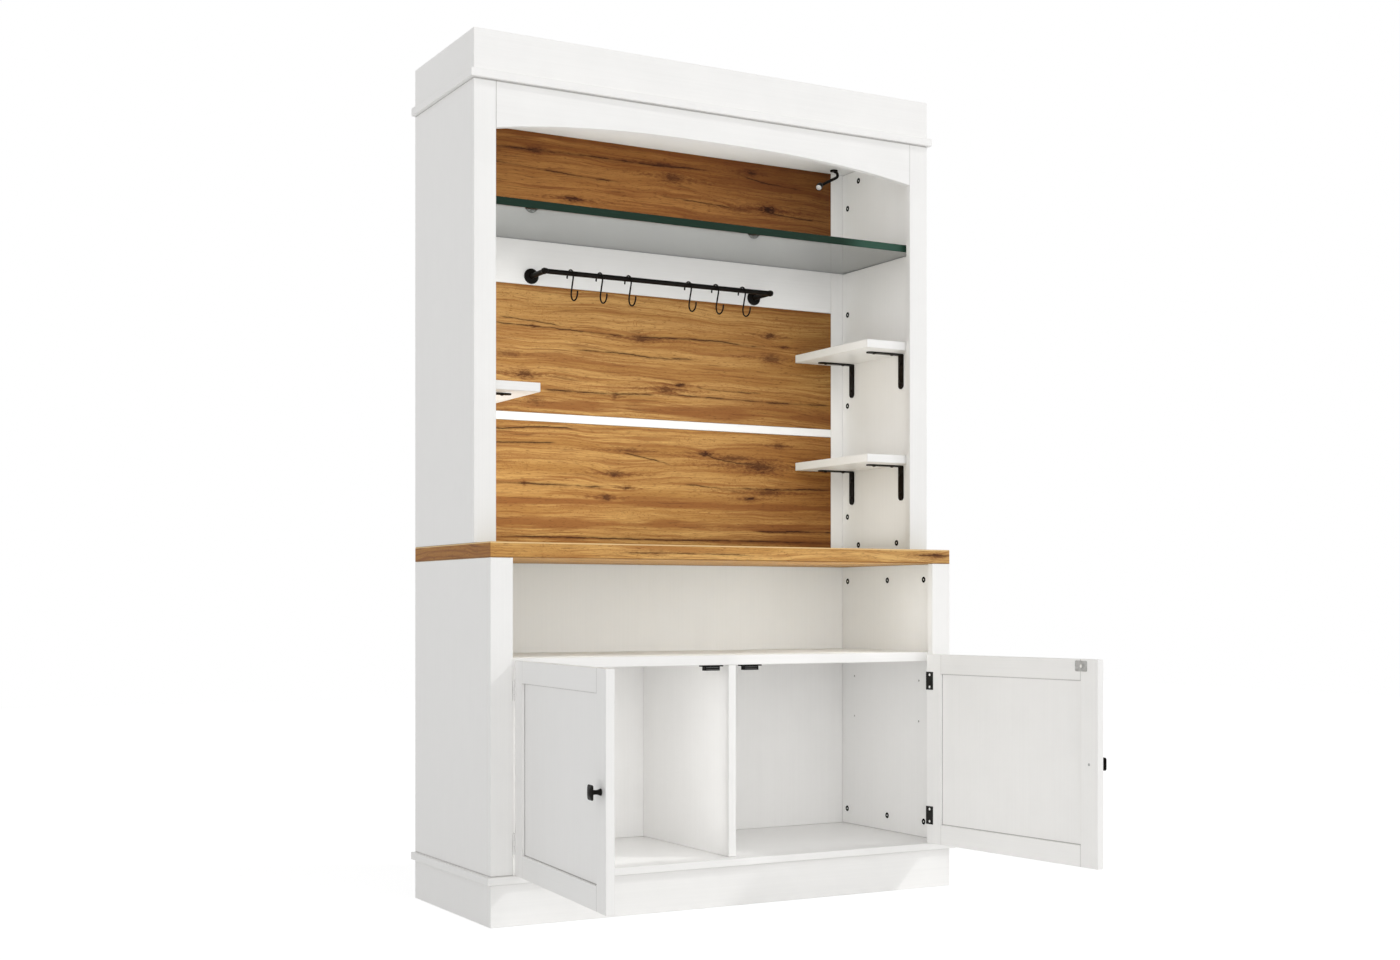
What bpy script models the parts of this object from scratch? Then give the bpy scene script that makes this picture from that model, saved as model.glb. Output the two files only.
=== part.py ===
"""Buffet cabinet with a set-back hutch, an arched valance, a glass shelf and two framed doors standing open.

Metres, +Z up, front towards -Y. The origin is the middle of the front plinth board's underside.
"""

import math

import bmesh
import bpy
from mathutils import Matrix, Vector

# Clearances and edges
GAP = 0.0003  # between pieces that touch
RUN = 0.0010  # between a closed door and the boards round it
EDGE = 0.0007  # chamfer along the edges of the boards
EDGE_ANGLE = 40.0  # degrees, corners sharper than this get the chamfer
SMOOTH_ANGLE = 35.0  # degrees, faces of turned pieces that meet flatter than this shade as one
ROUND_STEPS = 24  # sides of turned pieces
PIN_STEPS = 12
KNUCKLE_STEPS = 16
WIRE_TIP = 0.7  # shares of the radius, how far a wire's end stands out and how wide it is

# Carcass
WIDTH = 1.2
DEPTH = 0.4543
SIDE_T = 0.0170
BACK_T = 0.0136
STILE_W = 0.0515

# Base, from the floor up
PLINTH_H = 0.0910
PLINTH_T = 0.0180
FLOOR_T = 0.0165
FLOOR_OUT = 0.0106
BASE_STILE_T = 0.0181
CUPBOARD_H = 0.4372
SHELF_T = 0.0226
BAY_H = 0.2139
DIVIDER_T = 0.0195
COUNTER_T = 0.0337

# Hutch, from the countertop up
HUTCH_SETBACK = 0.0924
HUTCH_STILE_T = 0.0155
LOWER_PANEL_H = 0.3076
BATTEN_H = 0.0205
MIDDLE_PANEL_H = 0.3055
RAIL_BOARD_H = 0.1965
UPPER_PANEL_H = 0.1713
POST_W = 0.0369
TOP_T = 0.0181
CROWN_OUT = 0.0093
CROWN_H = 0.0893
CROWN_T = 0.0180
VALANCE_END = 0.1020  # height of the valance beside the stiles
VALANCE_MID = 0.0665  # height of the valance at the top of the arch
ARCH_POWER = 2.6  # 2 is a parabola, more is flatter in the middle
ARCH_STEPS = 24

# Glass shelf, let into a groove in each side
GLASS_RISE = 0.1060  # above the lower edge of the rail board
GLASS_T = 0.0180
GLASS_LET_IN = 0.0050
GLASS_BEHIND_STILE = 0.0101

# Side shelves, with the height of each underside above the countertop
SIDE_SHELF_W = 0.1480
SIDE_SHELF_T = 0.0200
SIDE_SHELF_BEHIND_STILE = 0.0041
LEFT_SHELF_RISE = 0.3356
RIGHT_SHELF_RISES = (0.2161, 0.4961)

# Shelf brackets, flat bar bent to a right angle
BRACKET_W = 0.0200
BRACKET_T = 0.0030
BRACKET_LEG = 0.1045
BRACKET_DROP = 0.0870
BRACKET_BEND = 0.0040
BRACKET_BEND_STEPS = 4
BRACKET_END = (0.03, 0.15, 0.4, 0.7, 1.0)  # stations along the round end, shares of half the width
BRACKET_FROM_FRONT = 0.0640
BRACKET_FROM_BACK = 0.0452

# Hanging rail
RAIL_RISE = 0.0205  # above the lower edge of the rail board
RAIL_SHIFT = -0.0022
RAIL_SPAN = 0.6210  # between the posts
RAIL_OUT = 0.0800
RAIL_R = 0.0060
RAIL_PAST_POST = 0.0080
RAIL_TIP = 0.3  # share of the radius that the bar's ends are rounded by
POST_R = 0.0062
POST_PAST_RAIL = 0.0100
POST_TIP = ((1.0, 0.5), (0.7, 0.1), (0.0, 0.0))  # radius and distance from the tip, shares of the radius
FLANGE_R = 0.0185
FLANGE_T = 0.0050
FLANGE_RIM = ((1.0, 0.6), (0.9, 1.0))  # shares of the radius and of the thickness

# S-hooks
HOOK_GROUPS = (-0.1660, 0.1537)  # middle of each three, from the middle of the rail
HOOK_PITCH = 0.0770
HOOK_WIRE_R = 0.0017
HOOK_LOOP_R = 0.0174
HOOK_CURL_R = 0.0178
HOOK_DROP = 0.0820  # top to bottom of the upright hook, between middles of the wire
HOOK_TAIL = 33.0  # degrees about the upper loop where the wire starts
HOOK_TIP = -154.0  # degrees about the lower curl where it ends
HOOK_LEAN = 30.0  # degrees that the lower curl swings forward
HOOK_BEARING = 23.0  # degrees from the top of the bar to where the loop rests on it
HOOK_STEPS = 12  # straight pieces in each of its two bends

# Doors
DOOR_T = 0.0180
DOOR_MEMBER = 0.0490
DOOR_BOTTOM_RAIL = 0.0475
DOOR_TOP_RAIL = 0.0465
DOOR_BELOW_SHELF = 0.0183  # how far the closed door laps the shelf edge
DOOR_PANEL_T = 0.0060
DOOR_GROOVE = 0.0080
DOOR_MEETING = 0.0030  # between the closed doors
LEFT_OPEN = 95.5  # degrees at rest
RIGHT_OPEN = 95.9

# Hinges: the pin stands in front of the gap between stile and door
HINGE_GAP = 0.0030
PIN_AHEAD = 0.0016
PIN_R = 0.0009
PIN_HELD = 0.6  # share of the pin's radius where the stile leaf's knuckles end inside it
KNUCKLE_R = 0.0019
KNUCKLE_BORE_R = 0.0012
LEAF_T = 0.0009
LEAF_W = 0.0240
HINGE_H = 0.0430
HINGE_FROM_BOTTOM = 0.0675  # from the door's lower edge to the middle of the lower hinge
HINGE_FROM_TOP = 0.0640

# Knobs
KNOB_RISE = 0.2265
KNOB_IN = 0.0245
KNOB_OUT = 0.0300
KNOB_HEAD_R = 0.0160
KNOB_HEAD_T = 0.0080
KNOB_NECK_R = 0.0038
KNOB_NECK_SLOPE = 0.0015  # height of the slope from base to neck
KNOB_NECK_FLARE = 0.0040  # height of the flare from neck to head
KNOB_BASE_R = 0.0068
KNOB_BASE_T = 0.0030
# The head from the flare to its crown, in shares of its radius and of its thickness
KNOB_HEAD = ((0.38, -0.125), (0.95, 0), (1.0, 0.15), (0.9625, 0.375), (0.8, 0.725), (0.45, 0.9375), (0, 1.0))

# Magnetic catches under the shelf
CATCH_FROM_DIVIDER = 0.0413
CATCH_PLATE_W = 0.0560
CATCH_PLATE_T = 0.0055
CATCH_BODY_W = 0.0390
CATCH_BODY_H = 0.0092
CATCH_DEPTH = 0.0140

# Spot lamp under the top board
LAMP_IN = 0.0520  # from the right side's inner face
LAMP_FROM_BACK = 0.0367
LAMP_BASE_R = 0.0100
LAMP_BASE_T = 0.0040
LAMP_NECK_R = 0.0033
LAMP_BEND_R = 0.0080
LAMP_BEND_START = 100.0  # degrees, where the neck leaves its base
LAMP_BEND_STEPS = 8
LAMP_SLOPE = 28.0  # degrees below level
LAMP_RUN = 0.0580
LAMP_AIM = (-0.62, -0.45, -0.64)
LAMP_HEAD_R = 0.0085
LAMP_HEAD_L = 0.0200
# The head from its rear to its front, in shares of its radius and of its length
LAMP_HEAD = ((0, -0.5), (0.7, -0.4), (1.0, -0.1), (1.0, 0.5), (0, 0.5))

# Places that follow from the sizes
FRONT = -PLINTH_T / 2
REAR = FRONT + DEPTH
BACK = REAR - BACK_T
HALF = WIDTH / 2
INNER = HALF - SIDE_T
FLOOR_Z = PLINTH_H + FLOOR_T
SHELF_Z = FLOOR_Z + CUPBOARD_H
BAY_Z = SHELF_Z + SHELF_T
COUNTER_Z = BAY_Z + BAY_H
HUTCH_Z = COUNTER_Z + COUNTER_T
BATTEN_Z = HUTCH_Z + LOWER_PANEL_H
MIDDLE_Z = BATTEN_Z + BATTEN_H
RAIL_BOARD_Z = MIDDLE_Z + MIDDLE_PANEL_H
UPPER_Z = RAIL_BOARD_Z + RAIL_BOARD_H
TOP_Z = UPPER_Z + UPPER_PANEL_H
CROWN_Z = TOP_Z + TOP_T
HUTCH_FRONT = FRONT + HUTCH_SETBACK
HUTCH_INSIDE = HUTCH_FRONT + HUTCH_STILE_T + GAP
BASE_INSIDE = FRONT + max(BASE_STILE_T + GAP, DOOR_T + RUN)
GLASS_Z = RAIL_BOARD_Z + GLASS_RISE
RAIL_Y = BACK - RAIL_OUT
RAIL_Z = RAIL_BOARD_Z + RAIL_RISE
PIN_X = HALF - STILE_W - HINGE_GAP / 2
PIN_Y = FRONT - PIN_AHEAD

# Finishes: colour, roughness, metallic
PAINT = ((0.87, 0.86, 0.84, 1.0), 0.38, 0.0)
OAK = ((0.36, 0.18, 0.06, 1.0), 0.45, 0.0)
GLASS = ((0.45, 0.62, 0.55, 1.0), 0.05, 0.0)
BLACK = ((0.010, 0.009, 0.008, 1.0), 0.42, 0.6)

LEFT, RIGHT = -1, 1


def clear_scene():
    for old in list(bpy.data.objects):
        bpy.data.objects.remove(old, do_unlink=True)


def finish(obj, look):
    colour, roughness, metallic = look
    own = bpy.data.materials.new(obj.name + "_finish")
    own.use_nodes = True
    shader = own.node_tree.nodes["Principled BSDF"]
    shader.inputs["Base Color"].default_value = colour
    shader.inputs["Roughness"].default_value = roughness
    shader.inputs["Metallic"].default_value = metallic
    own.diffuse_color = colour
    obj.data.materials.append(own)


def add(name, bm, look, place=(0, 0, 0), parent=None, smooth=False):
    """The mesh of bm as a named object, its faces turned outwards."""
    bmesh.ops.recalc_face_normals(bm, faces=bm.faces)
    mesh = bpy.data.meshes.new(name)
    bm.to_mesh(mesh)
    bm.free()
    if smooth:
        mesh.shade_smooth()
        mesh.set_sharp_from_angle(angle=math.radians(SMOOTH_ANGLE))
    obj = bpy.data.objects.new(name, mesh)
    obj.location = place
    obj.parent = parent
    bpy.context.scene.collection.objects.link(obj)
    finish(obj, look)
    return obj


def chamfered(obj, width=EDGE):
    bevel = obj.modifiers.new("edges", "BEVEL")
    bevel.width = width
    bevel.segments = 1
    bevel.limit_method = "ANGLE"
    bevel.angle_limit = math.radians(EDGE_ANGLE)
    return obj


def box(x, y, z):
    """A box between two x, two y and two z."""
    bm = bmesh.new()
    size = [b - a for a, b in (x, y, z)]
    middle = [(a + b) / 2 for a, b in (x, y, z)]
    bmesh.ops.create_cube(bm, size=1.0, matrix=Matrix.Translation(middle) @ Matrix.Diagonal((*size, 1)))
    return bm


def prism(outline, start, along):
    """A flat outline, given as 3-D points, pushed along a vector from its start."""
    bm = bmesh.new()
    face = bm.faces.new([bm.verts.new(Vector(start) + Vector(p)) for p in outline])
    pushed = bmesh.ops.extrude_face_region(bm, geom=[face])["geom"]
    moved = [v for v in pushed if isinstance(v, bmesh.types.BMVert)]
    bmesh.ops.translate(bm, vec=Vector(along), verts=moved)
    return bm


def bridged(bm, rings, closed):
    """Faces between each ring of vertices and the next; a ring of one vertex is a tip."""
    pairs = list(zip(rings, rings[1:]))
    if closed:
        pairs.append((rings[-1], rings[0]))
    for a, b in pairs:
        for i in range(max(len(a), len(b))):
            corners = [a[i % len(a)], a[(i + 1) % len(a)], b[(i + 1) % len(b)], b[i % len(b)]]
            bm.faces.new(list(dict.fromkeys(corners)))


def turned(profile, frame, closed=False, steps=ROUND_STEPS):
    """A profile of (radius, height) turned about frame's Z axis, into a solid or, if closed, a ring."""
    bm = bmesh.new()
    rings = []
    for radius, height in profile:
        count = steps if radius else 1
        turns = [2 * math.pi * i / steps for i in range(count)]
        around = [Vector((radius * math.cos(t), radius * math.sin(t), height)) for t in turns]
        rings.append([bm.verts.new(frame @ p) for p in around])
    bridged(bm, rings, closed)
    return bm


def wire(path, across, radius, sides=8):
    """A round wire along a path that lies in the plane square to across, with rounded ends."""
    across = Vector(across).normalized()
    path = [Vector(p) for p in path]
    first = (path[0] - path[1]).normalized()
    last = (path[-1] - path[-2]).normalized()
    tip = WIRE_TIP * radius
    stations = [(path[0] + first * tip, WIRE_TIP)]
    stations += [(p, 1.0) for p in path]
    stations.append((path[-1] + last * tip, WIRE_TIP))
    bm = bmesh.new()
    rings = []
    for i, (middle, share) in enumerate(stations):
        before = stations[max(i - 1, 0)][0]
        after = stations[min(i + 1, len(stations) - 1)][0]
        outward = (after - before).normalized().cross(across)
        ring = []
        for k in range(sides):
            turn = 2 * math.pi * k / sides
            spoke = outward * math.cos(turn) + across * math.sin(turn)
            ring.append(bm.verts.new(middle + radius * share * spoke))
        rings.append(ring)
    bridged(bm, rings, closed=False)
    bm.faces.new(rings[0])
    bm.faces.new(rings[-1])
    return bm


def arc(centre, radius, start, end, steps):
    """Points (u, v) on an arc from start to end degrees."""
    angles = [math.radians(start + (end - start) * i / steps) for i in range(steps + 1)]
    return [(centre[0] + radius * math.cos(a), centre[1] + radius * math.sin(a)) for a in angles]


def joined(obj, bm, step):
    """Unites the mesh of bm with obj."""
    helper = add(f"{obj.name}_add_{step}", bm, BLACK, place=obj.location, parent=obj.parent)
    helper.hide_render = True
    helper.display_type = "WIRE"
    union = obj.modifiers.new(f"add_{step}", "BOOLEAN")
    union.operation = "UNION"
    union.object = helper


def board(name, x, y, z, look=PAINT, parent=None):
    return chamfered(add(name, box(x, y, z), look, parent=parent))


def sided(side, near, far):
    """The two x of a piece between near and far from the middle, on the left or the right."""
    return tuple(sorted((side * near, side * far)))


def make_base():
    over = HALF + FLOOR_OUT
    under_top = COUNTER_Z - GAP
    board("plinth_front", (-HALF, HALF), (FRONT, FRONT + PLINTH_T), (0, PLINTH_H - GAP))
    board("bottom_board", (-over, over), (FRONT - FLOOR_OUT, REAR), (PLINTH_H, FLOOR_Z))
    board("countertop", (-HALF, HALF), (FRONT, REAR), (COUNTER_Z, HUTCH_Z), OAK)
    for side, word in ((LEFT, "left"), (RIGHT, "right")):
        board(
            f"plinth_{word}",
            sided(side, HALF - PLINTH_T, HALF),
            (FRONT + PLINTH_T + GAP, REAR),
            (0, PLINTH_H - GAP),
        )
        board(
            f"base_stile_{word}",
            sided(side, HALF - STILE_W, HALF),
            (FRONT, FRONT + BASE_STILE_T),
            (FLOOR_Z + GAP, under_top),
        )
        board(
            f"base_side_{word}",
            sided(side, INNER, HALF),
            (FRONT + BASE_STILE_T + GAP, REAR),
            (FLOOR_Z + GAP, under_top),
        )
    inside = (-INNER + GAP, INNER - GAP)
    depth = (BASE_INSIDE, BACK - GAP)
    board("base_back_panel", inside, (BACK, REAR), (FLOOR_Z + GAP, under_top))
    board("base_shelf", inside, depth, (SHELF_Z, BAY_Z))
    board("base_divider", (-DIVIDER_T / 2, DIVIDER_T / 2), depth, (FLOOR_Z + GAP, SHELF_Z - GAP))


def grooved_side(name, side):
    """A hutch side with a groove across its inner face for the glass."""
    low, high = HUTCH_Z + GAP, TOP_Z - GAP
    groove = INNER + GLASS_LET_IN + GAP
    corners = [
        (HALF, low),
        (HALF, high),
        (INNER, high),
        (INNER, GLASS_Z + GLASS_T + GAP),
        (groove, GLASS_Z + GLASS_T + GAP),
        (groove, GLASS_Z - GAP),
        (INNER, GLASS_Z - GAP),
        (INNER, low),
    ]
    outline = [(side * x, 0, z) for x, z in corners]
    chamfered(add(name, prism(outline, (0, HUTCH_INSIDE, 0), (0, REAR - HUTCH_INSIDE, 0)), PAINT))


def make_valance():
    """The board over the opening; its lower edge is an arch that is flat in the middle."""
    reach = HALF - STILE_W - GAP
    crown, rise = TOP_Z - VALANCE_MID, VALANCE_END - VALANCE_MID
    outline = [(reach, 0, TOP_Z - GAP), (-reach, 0, TOP_Z - GAP)]
    for i in range(ARCH_STEPS + 1):
        x = reach * (2 * i / ARCH_STEPS - 1)
        outline.append((x, 0, crown - rise * abs(x / reach) ** ARCH_POWER))
    chamfered(add("arched_valance", prism(outline, (0, HUTCH_FRONT, 0), (0, HUTCH_STILE_T, 0)), PAINT))


def make_crown():
    """The top board, and the front and side boards on it as one U."""
    over = HALF + CROWN_OUT
    board("hutch_top_board", (-over, over), (HUTCH_FRONT - CROWN_OUT, REAR), (TOP_Z, CROWN_Z))
    inner, back = HALF - CROWN_T, HUTCH_FRONT + CROWN_T
    corners = [
        (-HALF, REAR),
        (-HALF, HUTCH_FRONT),
        (HALF, HUTCH_FRONT),
        (HALF, REAR),
        (inner, REAR),
        (inner, back),
        (-inner, back),
        (-inner, REAR),
    ]
    outline = [(x, y, 0) for x, y in corners]
    chamfered(add("crown_frieze", prism(outline, (0, 0, CROWN_Z + GAP), (0, 0, CROWN_H)), PAINT))


def make_hutch():
    for side, word in ((LEFT, "left"), (RIGHT, "right")):
        grooved_side(f"hutch_side_{word}", side)
        board(
            f"hutch_stile_{word}",
            sided(side, HALF - STILE_W, HALF),
            (HUTCH_FRONT, HUTCH_FRONT + HUTCH_STILE_T),
            (HUTCH_Z + GAP, TOP_Z - GAP),
        )
        board(
            f"back_post_{word}",
            sided(side, INNER - POST_W, INNER - GAP),
            (BACK, REAR),
            (HUTCH_Z + GAP, TOP_Z - GAP),
        )
    make_valance()
    make_crown()
    reach = INNER - POST_W - GAP
    boards = (
        ("back_panel_lower", HUTCH_Z, BATTEN_Z, OAK),
        ("back_batten", BATTEN_Z, MIDDLE_Z, PAINT),
        ("back_panel_middle", MIDDLE_Z, RAIL_BOARD_Z, OAK),
        ("back_rail_board", RAIL_BOARD_Z, UPPER_Z, PAINT),
        ("back_panel_upper", UPPER_Z, TOP_Z, OAK),
    )
    for name, low, high, look in boards:
        board(name, (-reach, reach), (BACK, REAR), (low + GAP, high - GAP), look)
    glass_end = INNER + GLASS_LET_IN
    glass_front = HUTCH_FRONT + HUTCH_STILE_T + GLASS_BEHIND_STILE
    glass_y, glass_z = (glass_front, BACK - GAP), (GLASS_Z, GLASS_Z + GLASS_T)
    board("glass_shelf", (-glass_end, glass_end), glass_y, glass_z, GLASS)


def round_end(half_width):
    """Stations (distance from the tip, half width) along the round end of a bar."""
    return [(s * half_width, half_width * math.sqrt(1 - (1 - s) ** 2)) for s in BRACKET_END]


def bracket(name, side, middle_y, under):
    """A bent flat bar: one leg down the side's inner face, the other under the shelf."""
    half_t = BRACKET_T / 2
    ends = round_end(BRACKET_W / 2)
    quarter = arc((-BRACKET_BEND, -BRACKET_BEND), BRACKET_BEND - half_t, 0, 90, BRACKET_BEND_STEPS)
    step = math.pi / 2 / BRACKET_BEND_STEPS
    stations = [(-half_t, s - BRACKET_DROP, w, 0) for s, w in ends]
    stations += [(x, z, BRACKET_W / 2, step * i) for i, (x, z) in enumerate(quarter)]
    stations += [(s - BRACKET_LEG, -half_t, w, math.pi / 2) for s, w in reversed(ends)]
    bm = bmesh.new()
    rings = []
    for x, z, half_w, turn in stations:
        outer = Vector((math.cos(turn), 0, math.sin(turn))) * half_t
        corners = ((1, 1), (1, -1), (-1, -1), (-1, 1))
        ring = [Vector((x, 0, z)) + outer * a + Vector((0, half_w * b, 0)) for a, b in corners]
        rings.append([bm.verts.new((side * p.x, p.y, p.z)) for p in ring])
    bridged(bm, rings, closed=False)
    bm.faces.new(rings[0])
    bm.faces.new(rings[-1])
    add(name, bm, BLACK, place=(side * (INNER - GAP), middle_y, under - GAP))


def make_side_shelves():
    front = HUTCH_FRONT + HUTCH_STILE_T + SIDE_SHELF_BEHIND_STILE
    shelves = (
        ("side_shelf_left", LEFT, LEFT_SHELF_RISE),
        ("side_shelf_right_lower", RIGHT, RIGHT_SHELF_RISES[0]),
        ("side_shelf_right_upper", RIGHT, RIGHT_SHELF_RISES[1]),
    )
    for name, side, rise in shelves:
        under = HUTCH_Z + rise
        across = sided(side, INNER - SIDE_SHELF_W, INNER - GAP)
        board(name, across, (front, BACK - GAP), (under, under + SIDE_SHELF_T))
        places = {"front": front + BRACKET_FROM_FRONT, "rear": BACK - BRACKET_FROM_BACK}
        for word, middle_y in places.items():
            bracket(name.replace("side_shelf", "bracket") + "_" + word, side, middle_y, under)


def make_rail():
    """The bar, with a post and a wall flange near each end."""
    middle = (RAIL_SHIFT, RAIL_Y, RAIL_Z)
    half = RAIL_SPAN / 2 + RAIL_PAST_POST
    soft = RAIL_TIP * RAIL_R
    half_profile = [(RAIL_R, half - soft), (RAIL_R - soft, half), (0, half)]
    profile = [(r, -h) for r, h in reversed(half_profile)] + half_profile
    along_x = Matrix.Rotation(math.pi / 2, 4, "Y")
    rail = add("hook_rail", turned(profile, along_x), BLACK, place=middle, smooth=True)
    post_end = RAIL_OUT + POST_PAST_RAIL
    post = [(0, GAP), (FLANGE_R, GAP)]
    post += [(r * FLANGE_R, t * FLANGE_T) for r, t in FLANGE_RIM]
    post.append((POST_R, FLANGE_T))
    post += [(r * POST_R, post_end - t * POST_R) for r, t in POST_TIP]
    out_of_wall = Matrix.Rotation(math.pi / 2, 4, "X")
    for side, word in ((LEFT, "left"), (RIGHT, "right")):
        seat = Matrix.Translation((side * RAIL_SPAN / 2, RAIL_OUT, 0))
        joined(rail, turned(post, seat @ out_of_wall), word)


def hook_path():
    """Points (y, z) of the bent wire about the bar's middle: upper loop, straight stem, lower curl."""
    spread = HOOK_DROP - HOOK_LOOP_R - HOOK_CURL_R
    slope = math.degrees(math.acos((HOOK_LOOP_R + HOOK_CURL_R) / spread))
    path = arc((0.0, 0.0), HOOK_LOOP_R, HOOK_TAIL, 270 - slope, HOOK_STEPS)
    path += arc((0.0, -spread), HOOK_CURL_R, 90 - slope, HOOK_TIP, HOOK_STEPS)
    lean = Matrix.Rotation(-math.radians(HOOK_LEAN), 2)
    bearing = math.radians(HOOK_BEARING)
    play = HOOK_LOOP_R - HOOK_WIRE_R - RAIL_R - GAP
    loop = Vector((math.sin(bearing), -math.cos(bearing))) * play
    return [loop + lean @ Vector(p) for p in path]


def make_hooks():
    path = [(0, y, z) for y, z in hook_path()]
    places = [group + HOOK_PITCH * step for group in HOOK_GROUPS for step in (-1, 0, 1)]
    for number, x in enumerate(places, start=1):
        body = wire(path, (1, 0, 0), HOOK_WIRE_R)
        add(f"s_hook_{number}", body, BLACK, place=(RAIL_SHIFT + x, RAIL_Y, RAIL_Z), smooth=True)


def door_ring(x, z, stile, bottom, top):
    """A door frame with a groove round the inside of its opening, back face at y = DOOR_T."""
    x0, x1 = x
    z0, z1 = z
    groove_front = (DOOR_T - DOOR_PANEL_T) / 2 - GAP
    groove_back = DOOR_T - groove_front
    outer = (x0, x1, z0, z1)
    opening = (x0 + stile, x1 - stile, z0 + bottom, z1 - top)
    depth = (-DOOR_GROOVE, DOOR_GROOVE, -DOOR_GROOVE, DOOR_GROOVE)
    groove = tuple(a + b for a, b in zip(opening, depth))
    loops = (
        (outer, 0),
        (opening, 0),
        (opening, groove_front),
        (groove, groove_front),
        (groove, groove_back),
        (opening, groove_back),
        (opening, DOOR_T),
        (outer, DOOR_T),
    )
    bm = bmesh.new()
    rings = []
    for (a, b, low, high), y in loops:
        rings.append([bm.verts.new(p) for p in ((a, y, low), (b, y, low), (b, y, high), (a, y, high))])
    bridged(bm, rings, closed=True)
    return bm, opening


def hinge_leaf(name, side, on_door, middle_z, parent=None, place=(0, 0, 0)):
    """One leaf: a plate in the gap, wrapped onto the back of the door or the stile, with its knuckles."""
    towards = side * (-1 if on_door else 1)
    thickness = DOOR_T if on_door else BASE_STILE_T
    near = HINGE_GAP / 2 - GAP - LEAF_T
    far = HINGE_GAP / 2 - GAP
    plate_start = KNUCKLE_R + GAP
    plate_end = PIN_AHEAD + thickness + GAP + LEAF_T
    low, high = middle_z - HINGE_H / 2, middle_z + HINGE_H / 2
    third = HINGE_H / 3

    def across(a, b):
        return tuple(sorted((towards * a, towards * b)))

    corners = [
        (near, plate_start),
        (far, plate_start),
        (far, plate_end - LEAF_T),
        (far + GAP + LEAF_W, plate_end - LEAF_T),
        (far + GAP + LEAF_W, plate_end),
        (near, plate_end),
    ]
    outline = [(towards * x, y, 0) for x, y in corners]
    leaf = add(name, prism(outline, (0, 0, low), (0, 0, HINGE_H)), BLACK, place=place, parent=parent)
    if on_door:
        spans = [(low + third + GAP / 2, high - third - GAP / 2)]
    else:
        spans = [(low, low + third - GAP / 2), (high - third + GAP / 2, high)]
        pin = [(0, low + GAP), (PIN_R, low + GAP), (PIN_R, high - GAP), (0, high - GAP)]
        joined(leaf, turned(pin, Matrix.Identity(4), steps=PIN_STEPS), "pin")
    for count, (a, b) in enumerate(spans):
        hollow = KNUCKLE_BORE_R if on_door else PIN_HELD * PIN_R
        ring = [(KNUCKLE_R, a), (KNUCKLE_R, b), (hollow, b), (hollow, a)]
        joined(leaf, turned(ring, Matrix.Identity(4), closed=True, steps=KNUCKLE_STEPS), f"knuckle_{count}")
        link_start = (KNUCKLE_BORE_R + KNUCKLE_R) / 2
        joined(leaf, box(across(near, far), (link_start, plate_start + GAP), (a, b)), f"link_{count}")
    return leaf


def make_door(side, word, opened):
    """One door with its leaves and knob, carried by an empty on the hinge pins, and the stile's leaves."""
    axis = bpy.data.objects.new(f"{word}_door_axis", None)
    bpy.context.scene.collection.objects.link(axis)
    axis.location = (side * PIN_X, PIN_Y, 0)
    axis.rotation_euler.z = side * math.radians(opened)
    edge = HINGE_GAP / 2
    width = PIN_X - edge - DOOR_MEETING / 2
    across = sided(-side, edge, edge + width)
    low, high = FLOOR_Z + RUN, SHELF_Z + DOOR_BELOW_SHELF
    ring, opening = door_ring(across, (low, high), DOOR_MEMBER, DOOR_BOTTOM_RAIL, DOOR_TOP_RAIL)
    chamfered(add(f"{word}_door_frame", ring, PAINT, place=(0, PIN_AHEAD, 0), parent=axis))
    in_groove = DOOR_GROOVE - GAP
    panel_y = PIN_AHEAD + (DOOR_T - DOOR_PANEL_T) / 2
    left, right, bottom, top = opening
    board(
        f"{word}_door_panel",
        (left - in_groove, right + in_groove),
        (panel_y, panel_y + DOOR_PANEL_T),
        (bottom - in_groove, top + in_groove),
        parent=axis,
    )
    knob_x = -side * (edge + width - KNOB_IN)
    head = KNOB_OUT - KNOB_HEAD_T
    profile = [
        (0, GAP),
        (KNOB_BASE_R, GAP),
        (KNOB_BASE_R, KNOB_BASE_T),
        (KNOB_NECK_R, KNOB_BASE_T + KNOB_NECK_SLOPE),
        (KNOB_NECK_R, head - KNOB_NECK_FLARE),
    ]
    profile += [(r * KNOB_HEAD_R, head + t * KNOB_HEAD_T) for r, t in KNOB_HEAD]
    seat = Matrix.Translation((knob_x, PIN_AHEAD, FLOOR_Z + KNOB_RISE))
    outwards = Matrix.Rotation(math.pi / 2, 4, "X")
    add(f"{word}_door_knob", turned(profile, seat @ outwards), BLACK, parent=axis, smooth=True)
    for spot, middle_z in (("lower", low + HINGE_FROM_BOTTOM), ("upper", high - HINGE_FROM_TOP)):
        hinge_leaf(f"{word}_{spot}_hinge_door_leaf", side, True, middle_z, parent=axis)
        hinge_leaf(f"{word}_{spot}_hinge_frame_leaf", side, False, middle_z, place=(side * PIN_X, PIN_Y, 0))


def make_catches():
    """A magnetic catch on each side of the divider: a screw plate with the magnet housing under it."""
    plate, body = CATCH_PLATE_W / 2, CATCH_BODY_W / 2
    under = SHELF_Z - GAP
    corners = [
        (plate, under),
        (-plate, under),
        (-plate, under - CATCH_PLATE_T),
        (-body, under - CATCH_PLATE_T),
        (-body, under - CATCH_PLATE_T - CATCH_BODY_H),
        (body, under - CATCH_PLATE_T - CATCH_BODY_H),
        (body, under - CATCH_PLATE_T),
        (plate, under - CATCH_PLATE_T),
    ]
    outline = [(x, 0, z) for x, z in corners]
    for side, word in ((LEFT, "left"), (RIGHT, "right")):
        start = (side * (DIVIDER_T / 2 + CATCH_FROM_DIVIDER), BASE_INSIDE + RUN, 0)
        chamfered(add(f"{word}_magnetic_catch", prism(outline, start, (0, CATCH_DEPTH, 0)), BLACK))


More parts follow.
